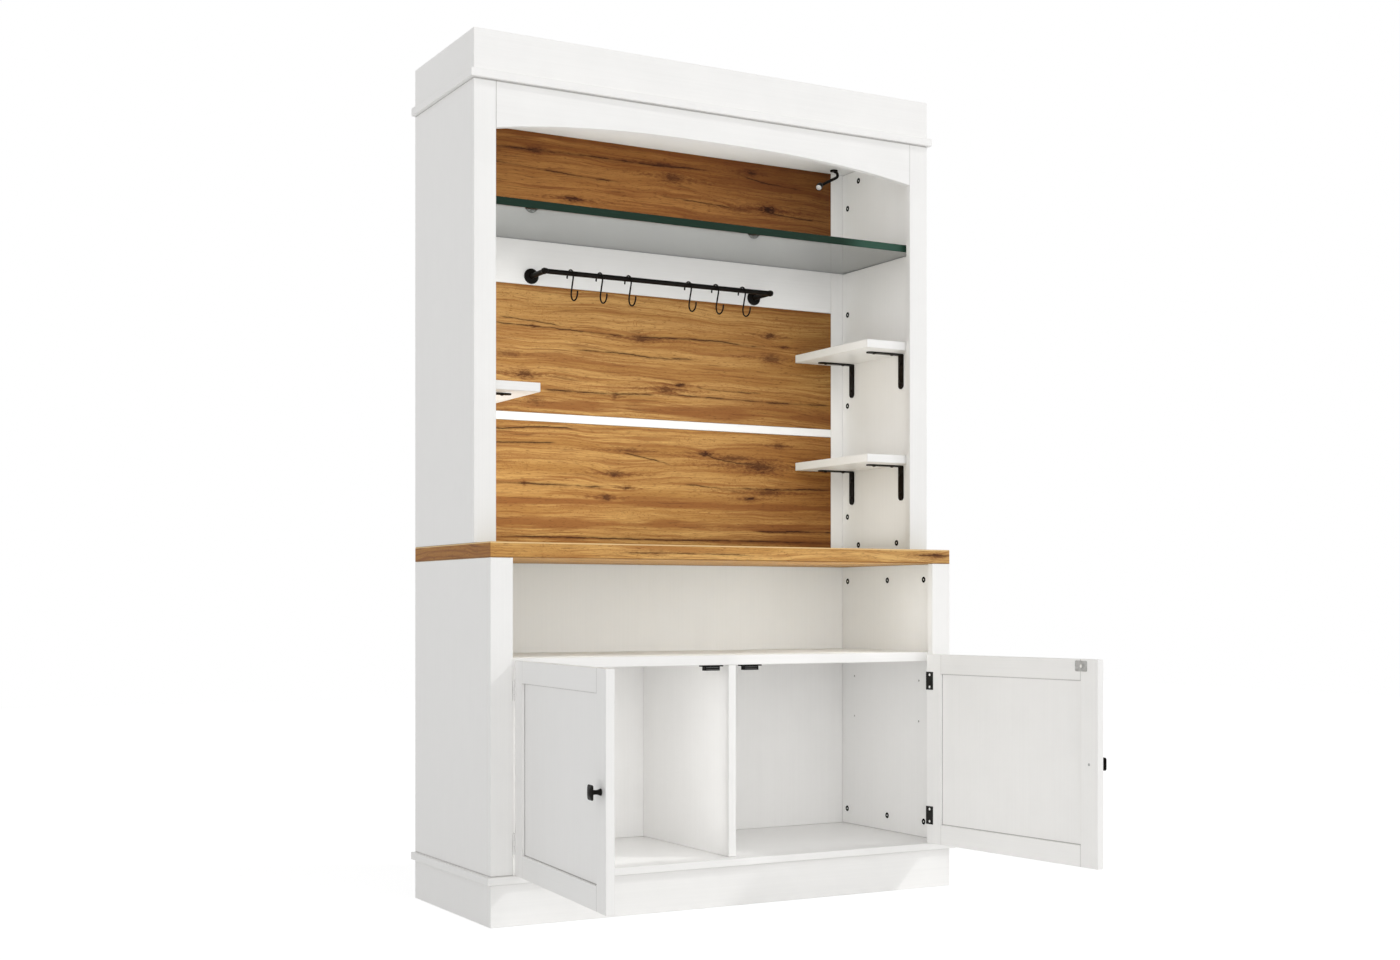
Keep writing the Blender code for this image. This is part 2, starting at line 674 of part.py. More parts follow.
def make_lamp():
    """A small spot on a bent neck, under the top board near its right rear corner."""
    root = Vector((INNER - LAMP_IN, BACK - LAMP_FROM_BACK, TOP_Z))
    base = [(0, -GAP), (LAMP_BASE_R, -GAP), (LAMP_BASE_R, -LAMP_BASE_T), (0, -LAMP_BASE_T)]
    lamp = add("spot_lamp", turned(base, Matrix.Identity(4)), BLACK, place=root, smooth=True)
    bend_middle = (LAMP_BASE_R - 2 * LAMP_NECK_R, -LAMP_BEND_R - LAMP_NECK_R - 2 * GAP)
    bend = arc(bend_middle, LAMP_BEND_R, LAMP_BEND_START, LAMP_SLOPE - 90, LAMP_BEND_STEPS)
    slope = math.radians(LAMP_SLOPE)
    last_x, last_z = bend[-1]
    end = Vector((last_x - LAMP_RUN * math.cos(slope), 0, last_z - LAMP_RUN * math.sin(slope)))
    path = [(x, 0, z) for x, z in bend] + [end]
    joined(lamp, wire(path, (0, 1, 0), LAMP_NECK_R), "neck")
    aim = Vector(LAMP_AIM).to_track_quat("Z", "Y").to_matrix().to_4x4()
    head = [(r * LAMP_HEAD_R, h * LAMP_HEAD_L) for r, h in LAMP_HEAD]
    joined(lamp, turned(head, Matrix.Translation(end) @ aim), "head")


def main():
    clear_scene()
    make_base()
    make_hutch()
    make_side_shelves()
    make_rail()
    make_hooks()
    make_door(LEFT, "left", LEFT_OPEN)
    make_door(RIGHT, "right", RIGHT_OPEN)
    make_catches()
    make_lamp()


main()
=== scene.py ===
"""Looks of the buffet cabinet: painted boards, oak-effect backs and worktop, glass, fittings, light, camera.

Metres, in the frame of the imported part: +Z up, front towards -Y, the floor at z = 0.
"""

import math

import bmesh
import bpy
from mathutils import Matrix, Vector


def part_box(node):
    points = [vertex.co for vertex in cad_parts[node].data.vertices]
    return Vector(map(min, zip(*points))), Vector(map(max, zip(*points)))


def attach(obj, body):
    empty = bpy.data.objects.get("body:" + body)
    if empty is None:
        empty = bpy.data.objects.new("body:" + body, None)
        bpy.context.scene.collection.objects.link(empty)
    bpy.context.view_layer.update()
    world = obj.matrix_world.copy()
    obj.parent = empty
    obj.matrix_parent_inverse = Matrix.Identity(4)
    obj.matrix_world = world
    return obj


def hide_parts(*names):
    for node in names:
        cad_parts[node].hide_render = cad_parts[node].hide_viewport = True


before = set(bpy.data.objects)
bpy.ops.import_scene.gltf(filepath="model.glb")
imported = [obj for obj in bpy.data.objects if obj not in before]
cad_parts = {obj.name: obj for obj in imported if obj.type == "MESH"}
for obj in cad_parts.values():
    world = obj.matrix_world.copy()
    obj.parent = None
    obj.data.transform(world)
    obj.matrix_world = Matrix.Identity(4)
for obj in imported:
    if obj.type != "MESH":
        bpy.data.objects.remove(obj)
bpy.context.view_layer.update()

LEFT, RIGHT = -1, 1
SIDES = ((LEFT, "left"), (RIGHT, "right"))

# Camera of the photograph
CAMERA_PLACE = (-2.0468, -3.5038, 0.6774)
CAMERA_TURN = -29.183  # degrees about +Z, from looking along +Y
CAMERA_LENS = 45.917
CAMERA_SHIFT_Y = 0.0904

# Carcass places
INNER = 0.583  # inner face of each side
SHELF_Z = 0.5447
WORKTOP_Z = (0.7812, 0.8149)
TOP_Z = 1.8163
HUTCH_FRONT = 0.0834

# Doors, closed, measured from the hinge pin towards the middle of the cabinet
PIN_X, PIN_Y = 0.547, -0.0106
OPENED = {LEFT: 95.5, RIGHT: 95.9}
DOOR_X = (0.0015, 0.5455)
DOOR_Y = (0.0016, 0.0196)
DOOR_Z = (0.1085, 0.563)
STILE_W, BOTTOM_RAIL, TOP_RAIL = 0.049, 0.0475, 0.0465
GROOVE_Y, GROOVE_DEEP = (0.0073, 0.0139), 0.008
SEAM = 0.00015  # half the width of the seam between rail and stile
HINGE_Z = (0.176, 0.499)
KNOB_X, KNOB_Z = 0.521, 0.334

# Rail, hooks, brackets
RAIL = Vector((-0.0022, 0.3517, 1.469))
RAIL_SPAN, RAIL_R, ELBOW_R = 0.621, 0.006, 0.0078
HOOK_X = (-0.2452, -0.1682, -0.0912, 0.0745, 0.1515, 0.2285)
HOOK_WIRE_R = 0.0019
BRACKETS = {
    "bracket_left": (LEFT, 1.1505),
    "bracket_right_lower": (RIGHT, 1.031),
    "bracket_right_upper": (RIGHT, 1.311),
}
BRACKET_Y = {"front": 0.167, "rear": 0.3865}
GLASS_X, GLASS_Y, GLASS_Z = 0.588, (0.109, 0.4314), (1.5545, 1.5725)
LAMP_ROOT = Vector((0.531, 0.395, TOP_Z))

# Finishes, linear colour
PAINT_WHITE = (0.945, 0.937, 0.922)
# Colour of the painted shade lines in joints and recesses
SEAM_SHADE = (0.3, 0.29, 0.275)
OAK_LIGHT = (0.78, 0.45, 0.145)
OAK_MIDDLE = (0.57, 0.29, 0.078)
OAK_RED = (0.35, 0.13, 0.032)
OAK_BROWN = (0.15, 0.05, 0.013)
OAK_DARK = (0.052, 0.016, 0.006)
# Painted highlight on the worktop's upper arris
OAK_ARRIS_HIGHLIGHT = (0.9, 0.69, 0.38)
END_TINT = (0.72, 0.63, 0.47)
OAK_BOUNCE = (0.335, 0.305, 0.185)
KNOT_SPREAD = (1.4, 1.3)  # how far a knot reaches past its size, along and across
COAT_BLACK = (0.0055, 0.0042, 0.003)
PLASTIC_BLACK = (0.006, 0.0058, 0.0055)
MAGNET_GREY = (0.085, 0.085, 0.083)
ZINC = (0.9, 0.89, 0.87)
PLATE_GREY = (0.46, 0.46, 0.455)
PIN_HOLE_SHADE = (0.42, 0.41, 0.39)
GLASS_GREY = (0.29, 0.3, 0.29)
GLASS_SHADOW = (0.8, 0.86, 0.83)
GLASS_GREENS = ((0.0065, 0.02, 0.012), (0.023, 0.06, 0.042), (0.028, 0.07, 0.05))
RUBBED_WHITE = (0.8, 0.785, 0.755)

# What the shared effects give
SURFACE = {"Colour": "colour", "Roughness": "value", "Height": "value"}


class Graph:
    """Adds nodes to a node tree, each link or number given where the node is made."""

    def __init__(self, tree):
        self.tree = tree

    def fill(self, socket, value):
        if isinstance(value, bpy.types.NodeSocket):
            self.tree.links.new(value, socket)
        elif value is not None:
            socket.default_value = (*value, 1.0) if socket.type == "RGBA" else value

    def node(self, kind, inputs=None, **settings):
        made = self.tree.nodes.new(kind)
        for name, value in settings.items():
            setattr(made, name, value)
        for name, value in (inputs or {}).items():
            self.fill(made.inputs[name], value)
        return made

    def math(self, operation, a, b=None, clamp=False):
        return self.node("ShaderNodeMath", {0: a, 1: b}, operation=operation, use_clamp=clamp).outputs[0]

    def plus(self, a, b):
        return self.math("ADD", a, b)

    def minus(self, a, b):
        return self.math("SUBTRACT", a, b)

    def times(self, a, b):
        return self.math("MULTIPLY", a, b)

    def larger(self, a, b):
        return self.math("MAXIMUM", a, b)

    def vector(self, operation, a, b=None):
        return self.node("ShaderNodeVectorMath", {0: a, 1: b}, operation=operation).outputs[0]

    def measured(self, operation, a, b=None):
        return self.node("ShaderNodeVectorMath", {0: a, 1: b}, operation=operation).outputs["Value"]

    def scaled(self, vector, factor):
        return self.node("ShaderNodeVectorMath", {0: vector, "Scale": factor}, operation="SCALE").outputs[0]

    def split(self, vector):
        return self.node("ShaderNodeSeparateXYZ", {0: vector}).outputs

    def joined(self, x, y, z):
        return self.node("ShaderNodeCombineXYZ", {0: x, 1: y, 2: z}).outputs[0]

    def coordinates(self):
        return self.node("ShaderNodeTexCoord").outputs

    def noise(self, place, scale, detail=2.0, roughness=0.5):
        inputs = {"Vector": place, "Scale": scale, "Detail": detail, "Roughness": roughness}
        return self.node("ShaderNodeTexNoise", inputs).outputs["Fac"]

    def drawn(self, place, stretch, detail=3.0, roughness=0.6, shift=(0.0, 0.0, 0.0)):
        """Noise drawn out along the axes."""
        mapped = self.node("ShaderNodeMapping", {"Vector": place, "Location": shift, "Scale": stretch})
        return self.noise(mapped.outputs[0], 1.0, detail, roughness)

    def ramp(self, value, low, high, to_low=0.0, to_high=1.0, smooth=True):
        kind = "SMOOTHSTEP" if smooth else "LINEAR"
        inputs = {"Value": value, "From Min": low, "From Max": high, "To Min": to_low, "To Max": to_high}
        return self.node("ShaderNodeMapRange", inputs, interpolation_type=kind).outputs["Result"]

    def blend(self, share, a, b, how="MIX"):
        made = self.node("ShaderNodeMix", data_type="RGBA", blend_type=how)
        for index, value in ((0, share), (6, a), (7, b)):
            self.fill(made.inputs[index], value)
        return made.outputs[2]

    def mixed_shader(self, share, a, b):
        return self.node("ShaderNodeMixShader", {0: share, 1: a, 2: b}).outputs[0]

    def grouped(self, group, **inputs):
        return self.node("ShaderNodeGroup", inputs, node_tree=group).outputs

    def finish(self, node, **inputs):
        """Fills the inputs of a node; an underscore stands for a space in a name."""
        for name, value in inputs.items():
            self.fill(node.inputs[name.replace("_", " ")], value)


def new_group(name, inputs, outputs):
    """An empty shader group with its sockets; returns the group, its graph, its inputs and its output node."""
    group = bpy.data.node_groups.new(name, "ShaderNodeTree")
    kinds = {"value": "NodeSocketFloat", "colour": "NodeSocketColor", "vector": "NodeSocketVector"}
    for label, kind in inputs.items():
        group.interface.new_socket(name=label, in_out="INPUT", socket_type=kinds[kind])
    for label, kind in outputs.items():
        group.interface.new_socket(name=label, in_out="OUTPUT", socket_type=kinds[kind])
    graph = Graph(group)
    given = group.nodes.new("NodeGroupInput").outputs
    result = group.nodes.new("NodeGroupOutput")
    return group, graph, given, result


def edge_rub_group():
    """How near a point of a box-shaped board is to one of its edges, from its place (0 to 1) and its size."""
    group, g, given, result = new_group("edge_rub", {"Share": "vector", "Size": "vector"}, {"Mask": "value"})
    far = g.vector("SUBTRACT", (1.0, 1.0, 1.0), given["Share"])
    near = g.vector("MULTIPLY", g.vector("MINIMUM", given["Share"], far), given["Size"])
    x, y, z = g.split(near)
    second = g.larger(g.math("MINIMUM", x, y), g.math("MINIMUM", g.larger(x, y), z))
    g.fill(result.inputs["Mask"], g.ramp(second, 0.0, 0.0022, 1.0, 0.0))
    return group


def paint_group():
    """Sprayed white paint: slow mottle, faint drawn streaks, fine skin, and edges rubbed a little."""
    inputs = {"Place": "vector", "Paint": "colour", "Edge": "value"}
    group, g, given, result = new_group("sprayed_paint", inputs, SURFACE)
    place = given["Place"]
    mottle = g.noise(place, 9.0, 4.0, 0.55)
    streak = g.drawn(place, (260.0, 260.0, 3.0))
    skin = g.noise(place, 850.0, 2.0, 0.5)
    shade = g.plus(g.ramp(mottle, 0.3, 0.7, -0.012, 0.01), g.ramp(streak, 0.3, 0.7, -0.011, 0.009))
    toned = g.scaled(given["Paint"], g.plus(shade, 1.0))
    rubbed = g.blend(g.times(given["Edge"], 0.35), toned, RUBBED_WHITE)
    rough = g.plus(g.ramp(mottle, 0.3, 0.7, 0.33, 0.43), g.ramp(streak, 0.3, 0.7, -0.03, 0.03))
    rough = g.minus(rough, g.times(given["Edge"], 0.06))
    height = g.plus(g.times(skin, 0.35), g.times(streak, 0.65))
    g.finish(result, Colour=rubbed, Roughness=rough, Height=height)
    return group


def knot_group():
    """A knot: a lift that bends the grain, a ragged halo with rings, a smear along the grain, a dark heart."""
    inputs = {"Place": "vector", "Centre": "vector", "Reach": "vector", "Lift": "value"}
    outputs = {"Bend": "value", "Halo": "value", "Heart": "value"}
    group, g, given, result = new_group("oak_knot", inputs, outputs)
    offset = g.vector("DIVIDE", g.vector("SUBTRACT", given["Place"], given["Centre"]), given["Reach"])
    ragged = g.drawn(given["Place"], (70.0, 70.0, 210.0), 3.0, 0.65)
    distance = g.measured("LENGTH", offset)
    rough_distance = g.plus(distance, g.ramp(ragged, 0.3, 0.7, -0.24, 0.24))
    spread = g.math("POWER", 2.718, g.times(g.times(distance, distance), -0.9))
    rings = g.math("SINE", g.times(rough_distance, 26.0))
    halo = g.ramp(rough_distance, 0.1, 1.05, 1.0, 0.0)
    halo = g.times(halo, g.ramp(rings, -1.0, 1.0, 0.6, 1.0))
    smear = g.measured("LENGTH", g.vector("MULTIPLY", offset, (0.36, 1.0, 2.2)))
    smear = g.plus(smear, g.ramp(ragged, 0.3, 0.7, -0.4, 0.4))
    halo = g.larger(halo, g.ramp(smear, 0.0, 0.95, 0.75, 0.0))
    heart = g.ramp(rough_distance, 0.1, 0.55, 1.0, 0.0)
    g.finish(result, Bend=g.times(spread, given["Lift"]), Halo=halo, Heart=heart)
    return group


def oak_group():
    """Oak effect with the grain along X: bands, streaks, reddish drifts, fibres, pores, cross flecks, cracks."""
    inputs = {"Place": "vector", "Bend": "value", "Halo": "value", "Heart": "value", "Red": "value"}
    inputs |= {"Crack": "value", "Tint": "colour"}
    group, g, given, result = new_group("oak_effect", inputs, SURFACE)
    x, y, z = g.split(given["Place"])
    across = g.plus(z, given["Bend"])
    wander = g.drawn(given["Place"], (2.6, 2.6, 6.0), 3.0, 0.5)
    across = g.plus(across, g.ramp(wander, 0.2, 0.8, -0.016, 0.016, smooth=False))
    grain = g.joined(x, y, across)
    bands = g.drawn(grain, (1.3, 1.3, 30.0), 5.0, 0.62)
    drift = g.drawn(grain, (2.0, 2.0, 13.0), 4.0, shift=(4.0, 0.0, 2.0))
    streaks = g.drawn(grain, (3.2, 3.2, 170.0), 4.0, 0.62, (2.0, 0.0, 4.0))
    fibre = g.drawn(grain, (20.0, 20.0, 640.0), 3.0, 0.65)
    pores = g.drawn(grain, (70.0, 70.0, 820.0), 2.0, 0.5, (1.0, 0.0, 7.0))
    dashes = g.drawn(grain, (8.0, 8.0, 260.0), 2.0, 0.5, (5.0, 0.0, 3.0))
    flecks = g.drawn(grain, (300.0, 300.0, 300.0), shift=(3.0, 0.0, 1.0))
    fleck_patch = g.drawn(given["Place"], (5.0, 5.0, 18.0), 2.0, 0.5, (7.0, 0.0, 0.0))
    colour = g.blend(g.ramp(bands, 0.4, 0.6), OAK_MIDDLE, OAK_LIGHT)
    colour = g.blend(g.ramp(streaks, 0.36, 0.54, 0.7, 0.0), colour, OAK_RED)
    red = g.larger(g.ramp(drift, 0.54, 0.74, 0.0, 0.55), given["Red"])
    colour = g.blend(red, colour, OAK_RED)
    colour = g.blend(g.times(given["Halo"], 0.8), colour, OAK_RED)
    colour = g.blend(g.times(given["Halo"], g.ramp(streaks, 0.42, 0.62, 1.0, 0.55)), colour, OAK_BROWN)
    colour = g.blend(g.ramp(fibre, 0.3, 0.72, 0.46, 0.0), colour, OAK_RED)
    colour = g.blend(g.ramp(pores, 0.58, 0.7, 0.0, 0.6), colour, OAK_BROWN)
    colour = g.blend(g.ramp(dashes, 0.62, 0.74, 0.0, 0.5), colour, OAK_BROWN)
    flecked = g.times(g.ramp(flecks, 0.58, 0.68), g.ramp(fleck_patch, 0.48, 0.64))
    colour = g.blend(g.times(flecked, 0.7), colour, OAK_RED)
    crack = g.larger(given["Crack"], given["Heart"])
    colour = g.blend(g.times(crack, 0.92), colour, OAK_DARK)
    colour = g.blend(1.0, colour, given["Tint"], "MULTIPLY")
    rough = g.plus(g.ramp(bands, 0.3, 0.7, 0.48, 0.58), g.times(crack, 0.2))
    height = g.minus(g.times(fibre, 0.5), g.times(g.ramp(pores, 0.6, 0.76), 0.6))
    g.finish(result, Colour=colour, Roughness=rough, Height=g.minus(height, crack))
    return group


def coat_group():
    """Powder coat or plastic: a fine pebbled skin with slight clouds."""
    inputs = {"Place": "vector", "Base": "colour", "Pebble": "value"}
    group, g, given, result = new_group("powder_coat", inputs, SURFACE)
    cloud = g.noise(given["Place"], 60.0, 3.0, 0.6)
    pebble = g.noise(given["Place"], given["Pebble"], 2.0, 0.5)
    toned = g.scaled(given["Base"], g.ramp(cloud, 0.3, 0.7, 0.75, 1.35))
    g.finish(result, Colour=toned, Roughness=g.ramp(pebble, 0.3, 0.7, 0.36, 0.52), Height=pebble)
    return group


EDGE_RUB = edge_rub_group()
SPRAYED_PAINT = paint_group()
OAK_KNOT = knot_group()
OAK_EFFECT = oak_group()
POWDER_COAT = coat_group()


def new_material(name):
    """A material with its Principled shader; returns the material, its graph and the shader."""
    material = bpy.data.materials.new(name)
    material.use_nodes = True
    return material, Graph(material.node_tree), material.node_tree.nodes["Principled BSDF"]


def bumped(g, shader, height, strength, distance):
    bump = g.node("ShaderNodeBump", {"Strength": strength, "Distance": distance, "Height": height})
    g.fill(shader.inputs["Normal"], bump.outputs["Normal"])


def painted(name, low, high, upright, shade_lines):
    """White paint for a board that fills the box from low to high; the streaks run along its length.

    Each shade line (axis, end, width, shade) is a line of painted shade along the board's low end (0),
    high end (1) or both (2).
    """
    material, g, shader = new_material(name)
    coordinates = g.coordinates()
    size = Vector(high) - Vector(low)
    edge = g.grouped(EDGE_RUB, Share=coordinates["Generated"], Size=size)["Mask"]
    place = coordinates["Object"]
    if not upright:
        turned = {"Vector": place, "Rotation": (0.0, math.pi / 2, 0.0)}
        place = g.node("ShaderNodeMapping", turned).outputs[0]
    paint = g.grouped(SPRAYED_PAINT, Place=place, Paint=PAINT_WHITE, Edge=edge)
    colour = paint["Colour"]
    if shade_lines:
        shares = g.split(coordinates["Generated"])
    for axis, end, width, shade in shade_lines:
        far = g.minus(1.0, shares[axis])
        near = (shares[axis], far, g.math("MINIMUM", shares[axis], far))[end]
        line = g.ramp(g.times(near, size[axis]), 0.75 * width, width, shade, 0.0)
        colour = g.blend(line, colour, SEAM_SHADE)
    g.finish(shader, Base_Color=colour, Roughness=paint["Roughness"])
    bumped(g, shader, paint["Height"], 0.12, 0.0004)
    return material


def crack_line(g, place, points, half):
    """How much a point lies in a fine crack along points (x, z); half is its half width where it is widest."""
    x0, x1 = points[0][0], points[-1][0]
    low = min(z for _, z in points) - 0.001
    span = max(z for _, z in points) + 0.001 - low
    x, _, z = g.split(place)
    share = g.ramp(x, x0, x1, smooth=False)
    line = g.node("ShaderNodeFloatCurve", {"Value": share})
    curve = line.mapping.curves[0]
    places = [((px - x0) / (x1 - x0), (pz - low) / span) for px, pz in points]
    curve.points[0].location, curve.points[1].location = places[0], places[-1]
    for spot in places[1:-1]:
        curve.points.new(*spot)
    line.mapping.update()
    course = g.plus(g.times(line.outputs[0], span), low)
    shaky = g.drawn(place, (38.0, 1.0, 60.0), shift=(x0, 0.0, low))
    course = g.plus(course, g.ramp(shaky, 0.2, 0.8, -0.0017, 0.0017, smooth=False))
    away = g.math("ABSOLUTE", g.minus(z, course))
    middle = g.math("ABSOLUTE", g.minus(share, 0.5))
    breaks = g.drawn(place, (16.0, 1.0, 16.0), 2.0, 0.5, (low, 0.0, x0))
    strength = g.times(g.ramp(middle, 0.36, 0.5, 1.0, 0.0), g.ramp(breaks, 0.34, 0.5, 0.4, 1.0))
    fine = g.ramp(away, 0.5 * half, 1.6 * half, 1.0, 0.0)
    shade = g.ramp(away, 0.0, 5.0 * half, 0.45, 0.0)
    return g.times(strength, g.larger(fine, shade))


def oak(name, knots, red_bands, cracks, tints, tinted=(0.1, 0.56), arrises=None):
    """Oak effect with knots (x, z, width, height, lift, darkness), red bands (z, half height) and cracks.

    The board goes from the first tint to the second between two x. Arrises are the heights (z) of the
    upright faces' lower edge, which gets painted shade, and their upper edge, which gets a painted highlight.
    """
    material, g, shader = new_material(name)
    coordinates = g.coordinates()
    normal = g.split(coordinates["Normal"])
    x_place, y_place, z_place = g.split(coordinates["Object"])
    level = g.ramp(g.math("ABSOLUTE", normal["Z"]), 0.6, 0.8)
    lying = g.times(y_place, level)
    z_place = g.plus(z_place, lying)
    y_place = g.minus(y_place, lying)
    place = g.joined(x_place, y_place, z_place)
    flat = g.vector("MULTIPLY", place, (1.0, 0.0, 1.0))
    bend, halo, heart, crack, red = 0.0, 0.0, 0.0, 0.0, 0.0
    for x, z, width, height, lift, dark in knots:
        reach = (KNOT_SPREAD[0] * width, 1.0, KNOT_SPREAD[1] * height)
        knot = g.grouped(OAK_KNOT, Place=flat, Centre=(x, 0.0, z), Reach=reach, Lift=lift)
        bend = g.plus(bend, knot["Bend"])
        halo = g.larger(halo, g.times(knot["Halo"], min(dark + 0.4, 1.0)))
        heart = g.larger(heart, g.times(knot["Heart"], dark))
    for half, *course in cracks:
        points = list(zip(course[::2], course[1::2]))
        crack = g.larger(crack, crack_line(g, place, points, half))
    along = g.drawn(place, (3.5, 1.0, 30.0))
    # Red bands: reddish streaks of the wood, and partly painted shade where they run along the panels' edges
    for z, half in red_bands:
        distance = g.math("ABSOLUTE", g.minus(z_place, z))
        ragged = g.plus(distance, g.ramp(along, 0.3, 0.7, -0.6 * half, 0.6 * half))
        red = g.larger(red, g.ramp(ragged, 0.2 * half, half, 0.85, 0.0))
    tint = g.blend(g.ramp(x_place, *tinted), *tints)
    tint = g.blend(g.ramp(g.math("ABSOLUTE", normal["X"]), 0.6, 0.8), tint, END_TINT)
    marks = {"Bend": bend, "Halo": halo, "Heart": heart, "Red": red, "Crack": crack, "Tint": tint}
    wood = g.grouped(OAK_EFFECT, Place=place, **marks)
    colour = wood["Colour"]
    # Painted highlight along the upper arris and painted shade along the lower arris of the upright faces
    if arrises:
        low, high = arrises
        upright = g.minus(1.0, level)
        lightened = g.times(upright, g.ramp(z_place, high - 0.0034, high - 0.0022, 0.0, 0.8))
        colour = g.blend(lightened, colour, OAK_ARRIS_HIGHLIGHT)
        shaded = g.times(upright, g.ramp(z_place, low + 0.0014, low + 0.0034, 0.7, 0.0))
        colour = g.blend(shaded, colour, OAK_BROWN)
    bounced = g.times(g.node("ShaderNodeLightPath").outputs["Is Diffuse Ray"], 0.9)
    colour = g.blend(bounced, colour, OAK_BOUNCE)
    g.finish(shader, Base_Color=colour, Roughness=wood["Roughness"], Specular_IOR_Level=0.16)
    bumped(g, shader, wood["Height"], 0.25, 0.0004)
    return material


def coated(name, colour, pebble=1400.0, metallic=0.0, strength=0.15):
    material, g, shader = new_material(name)
    coat = g.grouped(POWDER_COAT, Place=g.coordinates()["Object"], Base=colour, Pebble=pebble)
    g.finish(shader, Base_Color=coat["Colour"], Roughness=coat["Roughness"])
    g.finish(shader, Metallic=metallic, Specular_IOR_Level=0.12)
    bumped(g, shader, coat["Height"], strength, 0.0002)
    return material


def clear_glass(name):
    """Glass that lets the lamps' light through."""
    material, g, shader = new_material(name)
    smear = g.drawn(g.coordinates()["Object"], (6.0, 14.0, 6.0))
    g.finish(shader, Base_Color=GLASS_GREY, Roughness=g.ramp(smear, 0.45, 0.75, 0.0, 0.03))
    g.finish(shader, Transmission_Weight=1.0, IOR=1.5)
    shadow = g.node("ShaderNodeLightPath").outputs["Is Shadow Ray"]
    see_through = g.node("ShaderNodeBsdfTransparent", {"Color": GLASS_SHADOW}).outputs[0]
    output = material.node_tree.nodes["Material Output"]
    g.finish(output, Surface=g.mixed_shader(shadow, shader.outputs[0], see_through))
    return material


def glass_edge(name):
    """The ground edge of the pane, which gathers its green."""
    material, g, shader = new_material(name)
    place = g.coordinates()["Object"]
    ground = g.drawn(place, (30.0, 30.0, 900.0))
    deep = g.blend(g.ramp(g.split(place)["X"], 0.36, 0.44), *GLASS_GREENS[:2])
    lightened = g.times(g.ramp(ground, 0.55, 0.75), 0.35)
    colour = g.blend(lightened, deep, GLASS_GREENS[2])
    g.finish(shader, Base_Color=colour, Roughness=g.ramp(ground, 0.3, 0.7, 0.16, 0.26))
    g.finish(shader, Specular_IOR_Level=0.12, Transmission_Weight=0.0)
    bumped(g, shader, ground, 0.05, 0.0002)
    return material


# Pieces


def placed(name, data, place=None):
    """A new object of the scene."""
    obj = bpy.data.objects.new(name, data)
    bpy.context.scene.collection.objects.link(obj)
    if place is not None:
        obj.matrix_world = place
    return obj


def mesh_of(name, bm, *materials):
    mesh = bpy.data.meshes.new(name)
    bm.to_mesh(mesh)
    bm.free()
    for material in materials:
        mesh.materials.append(material)
    return mesh


def piece(name, bm, look, stands_for=None, place=None, body="cabinet", smooth=40, bevel=0.0):
    """The mesh of bm as a named piece that rides on a body and may stand for a node of the frame.

    The look is one material or several. Edges under smooth degrees are smooth; a bevel rounds the others.
    """
    bmesh.ops.recalc_face_normals(bm, faces=bm.faces)
    mesh = mesh_of(name, bm, *(look if isinstance(look, tuple) else (look,)))
    mesh.shade_smooth()
    obj = placed(name, mesh, place)
    if bevel:
        edges = obj.modifiers.new("rounded edges", "BEVEL")
        edges.width, edges.segments = bevel, 2
        edges.limit_method, edges.angle_limit = "ANGLE", math.radians(smooth)
        edges.harden_normals = True
    else:
        mesh.set_sharp_from_angle(angle=math.radians(smooth))
    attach(obj, body)
    if stands_for:
        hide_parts(stands_for)


def extruded(outline, along):
    bm = bmesh.new()
    face = bm.faces.new([bm.verts.new(p) for p in outline])
    pushed = bmesh.ops.extrude_face_region(bm, geom=[face])["geom"]
    moved = [v for v in pushed if isinstance(v, bmesh.types.BMVert)]
    bmesh.ops.translate(bm, vec=Vector(along), verts=moved)
    return bm


def add_box(bm, x, y, z):
    """A box between two x, two y and two z, added to bm."""
    size = [b - a for a, b in (x, y, z)]
    middle = [(a + b) / 2 for a, b in (x, y, z)]
    bmesh.ops.create_cube(bm, size=1.0, matrix=Matrix.Translation(middle) @ Matrix.Diagonal((*size, 1)))


def add_turned(bm, profile, matrix, steps=48):
    """A profile of (radius, height) turned about matrix's Z axis, added to bm.

    A third value in a point squares its ring: 2 is round and 8 nearly square, as wide as the radius says.
    """
    rings = []
    for radius, height, *squared in profile:
        power = squared[0] if squared else 2
        ring = []
        for i in range(steps if radius else 1):
            c, s = math.cos(2 * math.pi * i / steps), math.sin(2 * math.pi * i / steps)
            reach = radius / (abs(c) ** power + abs(s) ** power) ** (1 / power)
            ring.append(bm.verts.new(matrix @ Vector((reach * c, reach * s, height))))
        rings.append(ring)
    for a, b in zip(rings, rings[1:]):
        for i in range(max(len(a), len(b))):
            corners = [a[i % len(a)], a[(i + 1) % len(a)], b[(i + 1) % len(b)], b[i % len(b)]]
            bm.faces.new(list(dict.fromkeys(corners)))
    return bm


